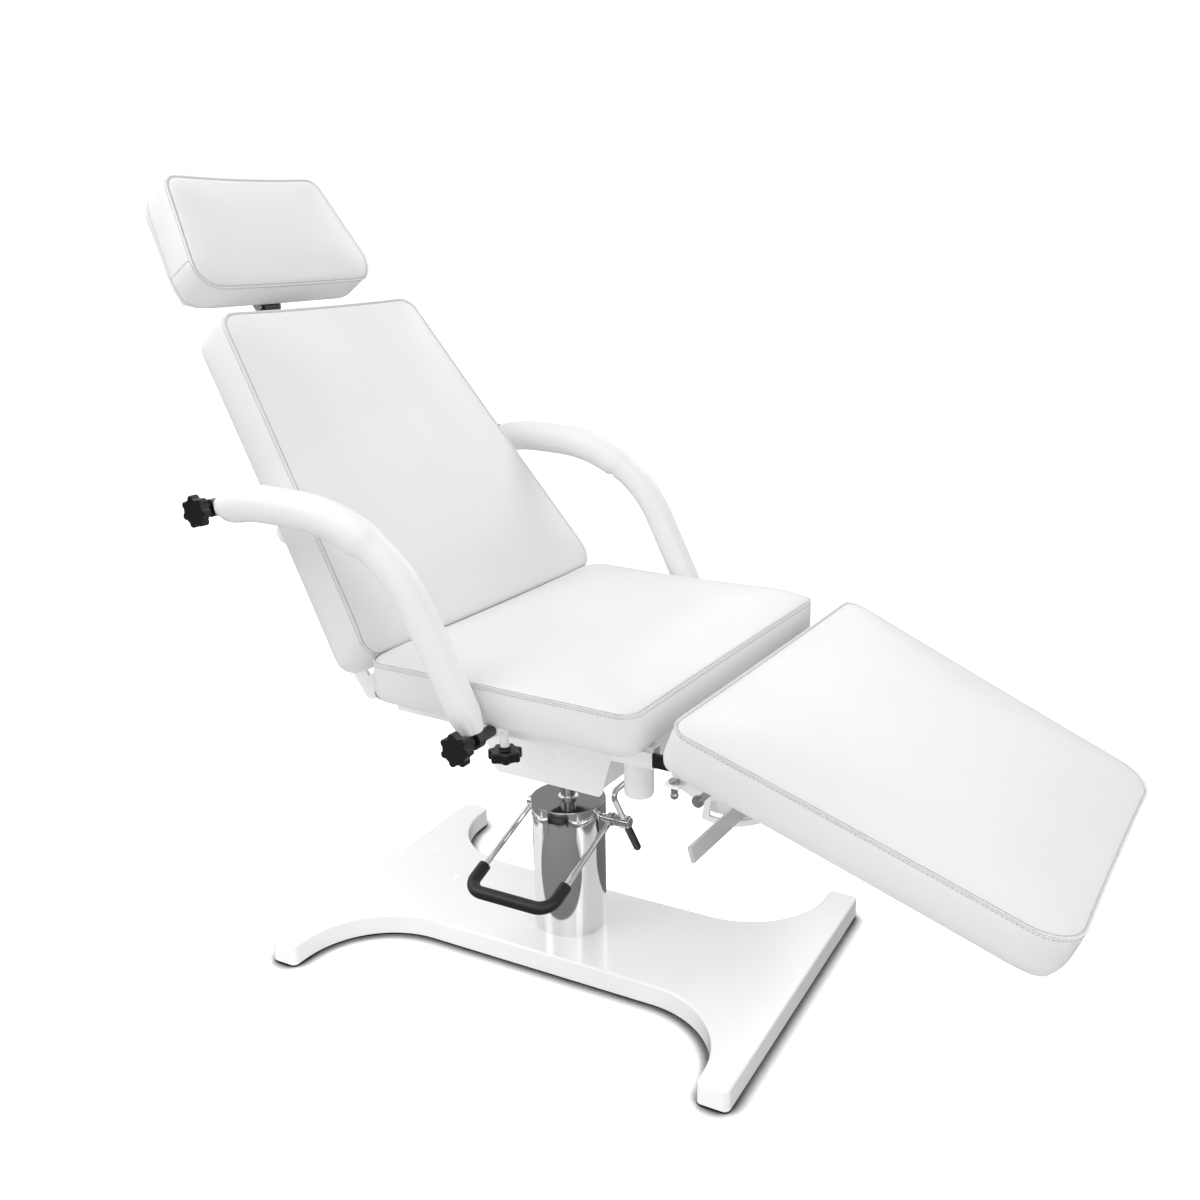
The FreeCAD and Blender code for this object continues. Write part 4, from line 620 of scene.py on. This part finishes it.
def sewn_cushion(name, node, body, size, place, board_place):
    """A boxed cushion with its lapped seam, modelled level and carried to its place on the chair."""
    to_board = board_place.inverted() @ place
    piece = moved(copied(nodes[node], name), place.inverted())
    seam, low, front, rear = size["seam"], size["low"], size["front"], size["rear"]
    wide = max(size["half_rear"], size["half_front"])
    for vert in piece.data.vertices:
        if vert.co.z > seam:
            vert.co.z = seam + (vert.co.z - seam) * size["slack"]
        vert.co.y *= wide / half_width(size, vert.co.x)
    deselect_all()
    bottom = low - COVER_UNDER
    bpy.ops.mesh.primitive_cube_add(size=1, location=((front + rear) / 2, 0, bottom + POCKET_HEIGHT / 2))
    lining = new_piece(name + "_lining")
    lining.scale = (front - rear - 2 * POCKET_INSET, 2 * (wide - POCKET_INSET), POCKET_HEIGHT)
    settle(lining)
    bpy.ops.object.mode_set(mode="EDIT")
    for end, radius in ((-1, size["corners"][0]), (1, size["corners"][1])):
        pick(lining, "EDGE", lambda co, way: abs(way.z) > 0.9 and (co.x - (front + rear) / 2) * end > 0)
        bpy.ops.mesh.bevel(offset=(radius - POCKET_INSET) * POCKET_ROUND, segments=CORNER_STEPS)
    bpy.ops.object.mode_set(mode="OBJECT")
    moved(lining, to_board.inverted())
    piece.select_set(True)
    bpy.context.view_layer.objects.active = piece
    bpy.ops.object.join()
    use_modifier(piece, "REMESH", mode="VOXEL", voxel_size=CLOTH_VOXEL)
    edge = seam_curve(name + "_edge", size, 0.0, 0.0)
    row = seam_curve(name + "_row", size, 0.0, CREASE_DROP)
    inner = seam_curve(name + "_inner", size, -CREASE_IN, 0.0)
    folds = [inner, seam_curve(name + "_outer", size, 0.0, CREASE_DROP)]
    if size is HEAD:
        folds.append(seam_curve(name + "_hem", size, 0.0, seam - low - HEM_RISE))
        join_place = (front - JOIN_AT, -half_width(size, front - JOIN_AT), seam - CREASE_DROP)
        join_step = (0, 0, (CREASE_DROP + HEM_RISE + low - seam) / JOIN_STEPS)
        folds.append(open_curve(name + "_join", join_place, join_step, JOIN_STEPS))
    ends = [Vector(p.co[:3]) for p in edge.data.splines[0].points]
    sewn = KDTree(len(ends) * EDGE_SAMPLES)
    for i, (start, end) in enumerate(zip(ends, ends[1:] + ends[:1])):
        for k in range(EDGE_SAMPLES):
            spot = start.lerp(end, k / EDGE_SAMPLES)
            spot.y *= wide / half_width(size, spot.x)
            sewn.insert(spot, i * EDGE_SAMPLES + k)
    sewn.balance()

    def held(co):
        return (to_board @ co).z < low + BOTTOM_HOLD or sewn.find(co)[2] < SEAM_HOLD

    inflate(piece, held, size["reach"])
    use_modifier(piece, "SMOOTH", factor=0.5, iterations=COVER_SMOOTH)
    for vert in piece.data.vertices:
        vert.co.y *= half_width(size, vert.co.x) / wide
        vert.co = drawn_in(size, vert.co)
    use_modifier(piece, "SUBSURF", levels=1, render_levels=1)
    bpy.ops.object.shade_smooth()
    surface = BVHTree.FromObject(piece, bpy.context.evaluated_depsgraph_get())
    for curve, lift in [(edge, STRIP_LIFT), (row, STITCH_LIFT)] + [(fold, 0.0) for fold in folds]:
        for point in curve.data.splines[0].points:
            spot = Vector(point.co[:3])
            if size["roll"]:
                spot.z -= ROLL_HIDES * max(0.0, 1 - (front - spot.x) / ROLL_REACH) ** 2
            point.co = (*drawn_in(size, spot), 1)
        lay_on(curve, surface, lift)
    # The cords are grey to paint the shade in the seam folds and along the head's hem and join.
    shade_cords = joined([shade_cord(fold) for fold in folds], name + "_creases")
    made = [piece, seam_strip(edge, name + "_seam"), shade_cords, stitch_row(row, name + "_stitches")]
    for item in made:
        moved(item, place)
        wear(item, painted_crease_shade if item is shade_cords else finishes["white_leather"])
        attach(item, body)
    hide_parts(node)


leg_hinge = joints["leg_tilt"]["pos_m"]
back_hinge = joints["back_recline"]["pos_m"]
level = Matrix.Identity(4)
lowered = about(LEG_ANGLE, leg_hinge[0], leg_hinge[2])
raised = about(BACK_ANGLE, back_hinge[0], back_hinge[2])

tilted = raised @ about(HEAD_TILT, HEAD["front"], HEAD["seam"])

sewn_cushion("seat_pad", "seat_cushion", "seat", SEAT, level, level)
sewn_cushion("back_pad", "back_cushion", "back", BACK, raised, raised)
sewn_cushion("leg_pad", "leg_cushion", "leg", LEG, lowered, lowered)
sewn_cushion("head_pad", "head_cushion", "head", HEAD, tilted, raised)


# Armrest sleeves

def gather(piece, end, inner):
    """Draw the sleeve's end in to folds round its bar."""
    foot = Vector((end[0], 0, end[1]))
    way = (Vector((inner[0], 0, inner[1])) - foot).normalized()
    along = []
    for vert in piece.data.vertices:
        off = vert.co - foot
        far = off.dot(way)
        if off.length < GATHER_FAR and (off - way * far).xz.length < GATHER_ASIDE:
            along.append((vert, far))
    first = min(far for vert, far in along)
    close = [vert.co.y for vert, far in along if far < first + GATHER_REACH]
    middle = (min(close) + max(close)) / 2
    for vert, far in along:
        share = max(0.0, 1 - (far - first) / GATHER_REACH)
        share = share * share * (3 - 2 * share)
        axis = Vector((foot.x, middle, foot.z)) + way * far
        out = vert.co - axis
        turn = atan2(out.y, out.dot(Vector((way.z, 0, -way.x))))
        fold = GATHER_DEPTH * (0.5 + 0.5 * cos(GATHER_FOLDS * turn))
        shrink = (GATHER_TAPER * share + fold) * share
        vert.co = axis + out * (1 - shrink) - way * GATHER_STRETCH * share ** 2


def notch(piece):
    """Slit under the arch where the two lengths of the sleeve meet."""
    spot = Vector((NOTCH_AT[0], 0, NOTCH_AT[1]))
    way = Vector((NOTCH_WAY[0], 0, NOTCH_WAY[1]))
    inward = Vector((-way.z, 0, way.x))
    for vert in piece.data.vertices:
        off = Vector((vert.co.x, 0, vert.co.z)) - spot
        below = off.dot(inward)
        if abs(off.dot(way)) < 4 * NOTCH_WIDTH and 0 < below < 2 * PAD_CORE:
            share = exp(-(off.dot(way) / NOTCH_WIDTH) ** 2) * min(1.0, below / PAD_CORE)
            vert.co -= inward * NOTCH_DEPTH * share


def arm_sleeve(name):
    """Padded sleeve over the bent bar, with folds where it is gathered and a notch underneath."""
    piece = copied(nodes["arm_pad_" + name], "arm_sleeve_" + name)
    use_modifier(piece, "REMESH", mode="VOXEL", voxel_size=PAD_VOXEL)
    inflate(piece, lambda co: False, PAD_SWELL)
    use_modifier(piece, "SMOOTH", factor=0.5, iterations=PAD_SMOOTH)
    for end, inner in PAD_AXES:
        gather(piece, end, inner)
    notch(piece)
    use_modifier(piece, "SUBSURF", levels=1, render_levels=1)
    bpy.ops.object.shade_smooth()
    wear(piece, sleeve_leather_painted_light)
    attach(piece, "arm_" + name)
    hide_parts("arm_pad_" + name)


for name in SIDES:
    arm_sleeve(name)


# Knobs

def moulded_knob(node, body):
    """Star knob with the soft edges of a moulding."""
    piece = copied(nodes[node], "moulded_" + node)
    use_modifier(piece, "REMESH", mode="VOXEL", voxel_size=KNOB_VOXEL)
    use_modifier(piece, "SMOOTH", factor=0.5, iterations=KNOB_SMOOTH)
    bpy.ops.object.shade_smooth()
    wear(piece, finishes["black_plastic"])
    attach(piece, body)
    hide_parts(node)


moulded_knob("head_lock_knob", "head_lock")
for name in SIDES:
    moulded_knob("lower_arm_knob_" + name, "lower_knob_" + name)
    moulded_knob("upper_arm_knob_" + name, "upper_knob_" + name)
    moulded_knob("clamp_knob_" + name, "clamp_knob_" + name)


# Studio

def studio_floor():
    """Pale floor, plain white to the camera, with a painted contact shadow under the base from ambient occlusion;
    metal sees it darker.
    """
    deselect_all()
    bpy.ops.mesh.primitive_plane_add(size=40, location=(0, 0, 0))
    floor = new_piece("studio_floor")
    material, tree, shader = plain_material("studio_white", (FLOOR_TONE, FLOOR_TONE, FLOOR_TONE), 0.7)
    path = add_node(tree, "ShaderNodeLightPath")
    shade = add_node(tree, "ShaderNodeAmbientOcclusion", Distance=SHADOW_REACH, samples=8)
    depth = add_node(tree, "ShaderNodeMapRange")
    depth.inputs["From Min"].default_value, depth.inputs["From Max"].default_value = SHADOW_RAMP
    painted_contact_shadow = add_node(tree, "ShaderNodeBsdfDiffuse")
    painted_shadow_tone = add_node(tree, "ShaderNodeValToRGB")
    painted_shadow_tone.color_ramp.elements[0].color = (0.01, 0.01, 0.01, 1)
    painted_shadow_tone.color_ramp.elements[1].color = (0.55, 0.55, 0.55, 1)
    dark = add_node(tree, "ShaderNodeBsdfDiffuse")
    dark.inputs["Color"].default_value = (MIRRORED_FLOOR, MIRRORED_FLOOR, MIRRORED_FLOOR, 1)
    mirrored = add_node(tree, "ShaderNodeMixShader")
    glow = add_node(tree, "ShaderNodeEmission")
    seen = add_node(tree, "ShaderNodeMixShader")
    both = add_node(tree, "ShaderNodeAddShader")
    # Ambient occlusion darkens the floor's glow and colour near the base: a painted contact shadow.
    tree.links.new(shade.outputs["AO"], depth.inputs["Value"])
    tree.links.new(depth.outputs["Result"], glow.inputs["Strength"])
    tree.links.new(depth.outputs["Result"], painted_shadow_tone.inputs["Fac"])
    tree.links.new(painted_shadow_tone.outputs["Color"], painted_contact_shadow.inputs["Color"])
    tree.links.new(painted_contact_shadow.outputs["BSDF"], both.inputs[0])
    tree.links.new(glow.outputs["Emission"], both.inputs[1])
    tree.links.new(path.outputs["Is Glossy Ray"], mirrored.inputs["Fac"])
    tree.links.new(shader.outputs["BSDF"], mirrored.inputs[1])
    tree.links.new(dark.outputs["BSDF"], mirrored.inputs[2])
    tree.links.new(path.outputs["Is Camera Ray"], seen.inputs["Fac"])
    tree.links.new(mirrored.outputs["Shader"], seen.inputs[1])
    tree.links.new(both.outputs["Shader"], seen.inputs[2])
    tree.links.new(seen.outputs["Shader"], tree.nodes["Material Output"].inputs["Surface"])
    floor.data.materials.append(material)


def studio_world():
    """Soft white room; polished metal sees it with the dark gaps between the lamps."""
    world = bpy.context.scene.world or bpy.data.worlds.new("studio")
    bpy.context.scene.world = world
    world.use_nodes = True
    tree = world.node_tree
    tree.nodes.clear()
    out = add_node(tree, "ShaderNodeOutputWorld")
    path = add_node(tree, "ShaderNodeLightPath")
    place = add_node(tree, "ShaderNodeTexCoord")
    parts = add_node(tree, "ShaderNodeSeparateXYZ")
    bearing = add_node(tree, "ShaderNodeMath", operation="ARCTAN2")
    share = add_node(tree, "ShaderNodeMapRange")
    share.inputs["From Min"].default_value = -pi
    share.inputs["From Max"].default_value = pi
    gaps = add_node(tree, "ShaderNodeValToRGB")
    gaps.color_ramp.interpolation = "EASE"
    stops = gaps.color_ramp.elements
    stops[0].position, stops[0].color = 0.0, (1, 1, 1, 1)
    stops[1].position, stops[1].color = 1.0, (1, 1, 1, 1)
    for spot, tone in ROOM_TONES:
        stops.new(spot).color = (tone, tone, tone, 1)
    tree.links.new(place.outputs["Generated"], parts.inputs["Vector"])
    tree.links.new(parts.outputs["Y"], bearing.inputs[0])
    tree.links.new(parts.outputs["X"], bearing.inputs[1])
    tree.links.new(bearing.outputs["Value"], share.inputs["Value"])
    tree.links.new(share.outputs["Result"], gaps.inputs["Fac"])
    soft = add_node(tree, "ShaderNodeBackground", Strength=WORLD_LIGHT)
    room = add_node(tree, "ShaderNodeBackground", Strength=1.0)
    white = add_node(tree, "ShaderNodeBackground", Strength=1.0)
    white.inputs["Color"].default_value = (1, 1, 1, 1)
    soft.inputs["Color"].default_value = (1, 1, 1, 1)
    tree.links.new(gaps.outputs["Color"], room.inputs["Color"])
    glossy = add_node(tree, "ShaderNodeMixShader")
    seen = add_node(tree, "ShaderNodeMixShader")
    tree.links.new(path.outputs["Is Glossy Ray"], glossy.inputs["Fac"])
    tree.links.new(soft.outputs["Background"], glossy.inputs[1])
    tree.links.new(room.outputs["Background"], glossy.inputs[2])
    tree.links.new(path.outputs["Is Camera Ray"], seen.inputs["Fac"])
    tree.links.new(glossy.outputs["Shader"], seen.inputs[1])
    tree.links.new(white.outputs["Background"], seen.inputs[2])
    tree.links.new(seen.outputs["Shader"], out.inputs["Surface"])


def soft_light(name, place, target, size, power):
    data = bpy.data.lights.new(name, "AREA")
    data.shape = "RECTANGLE"
    data.size, data.size_y = size
    data.energy = power
    light = bpy.data.objects.new(name, data)
    bpy.context.scene.collection.objects.link(light)
    light.location = place
    light.rotation_euler = (Vector(target) - Vector(place)).to_track_quat("-Z", "Y").to_euler()
    light.visible_camera = False


studio_floor()
studio_world()
soft_light("key", (-1.0, -1.0, 3.2), (0, 0, 0.6), (1.8, 1.8), 25)
soft_light("left", (-1.9, -1.9, 2.2), (-0.1, 0, 0.1), (1.4, 1.0), 17)
soft_light("fill", (2.7, -1.3, 1.6), (0, 0, 0.2), (1.6, 1.2), 19)
soft_light("base", (0.0, -0.75, 0.5), (0.0, -0.75, 0), (1.2, 0.5), 2.5)
soft_light("rear", (0.2, 2.8, 2.4), (0, 0, 0.6), (2.2, 1.2), 18)

camera = bpy.data.objects.new("camera", bpy.data.cameras.new("camera"))
bpy.context.scene.collection.objects.link(camera)
camera.data.lens = CAMERA_LENS
camera.data.sensor_width = CAMERA_FRAME
turn = Matrix.Rotation(radians(CAMERA_AZIMUTH), 4, "Z") @ Matrix.Rotation(radians(90 - CAMERA_PITCH), 4, "X")
camera.matrix_world = Matrix.Translation(CAMERA_PLACE) @ turn @ Matrix.Rotation(radians(CAMERA_ROLL), 4, "Z")
bpy.context.scene.camera = camera
bpy.context.scene.view_settings.view_transform = "Standard"
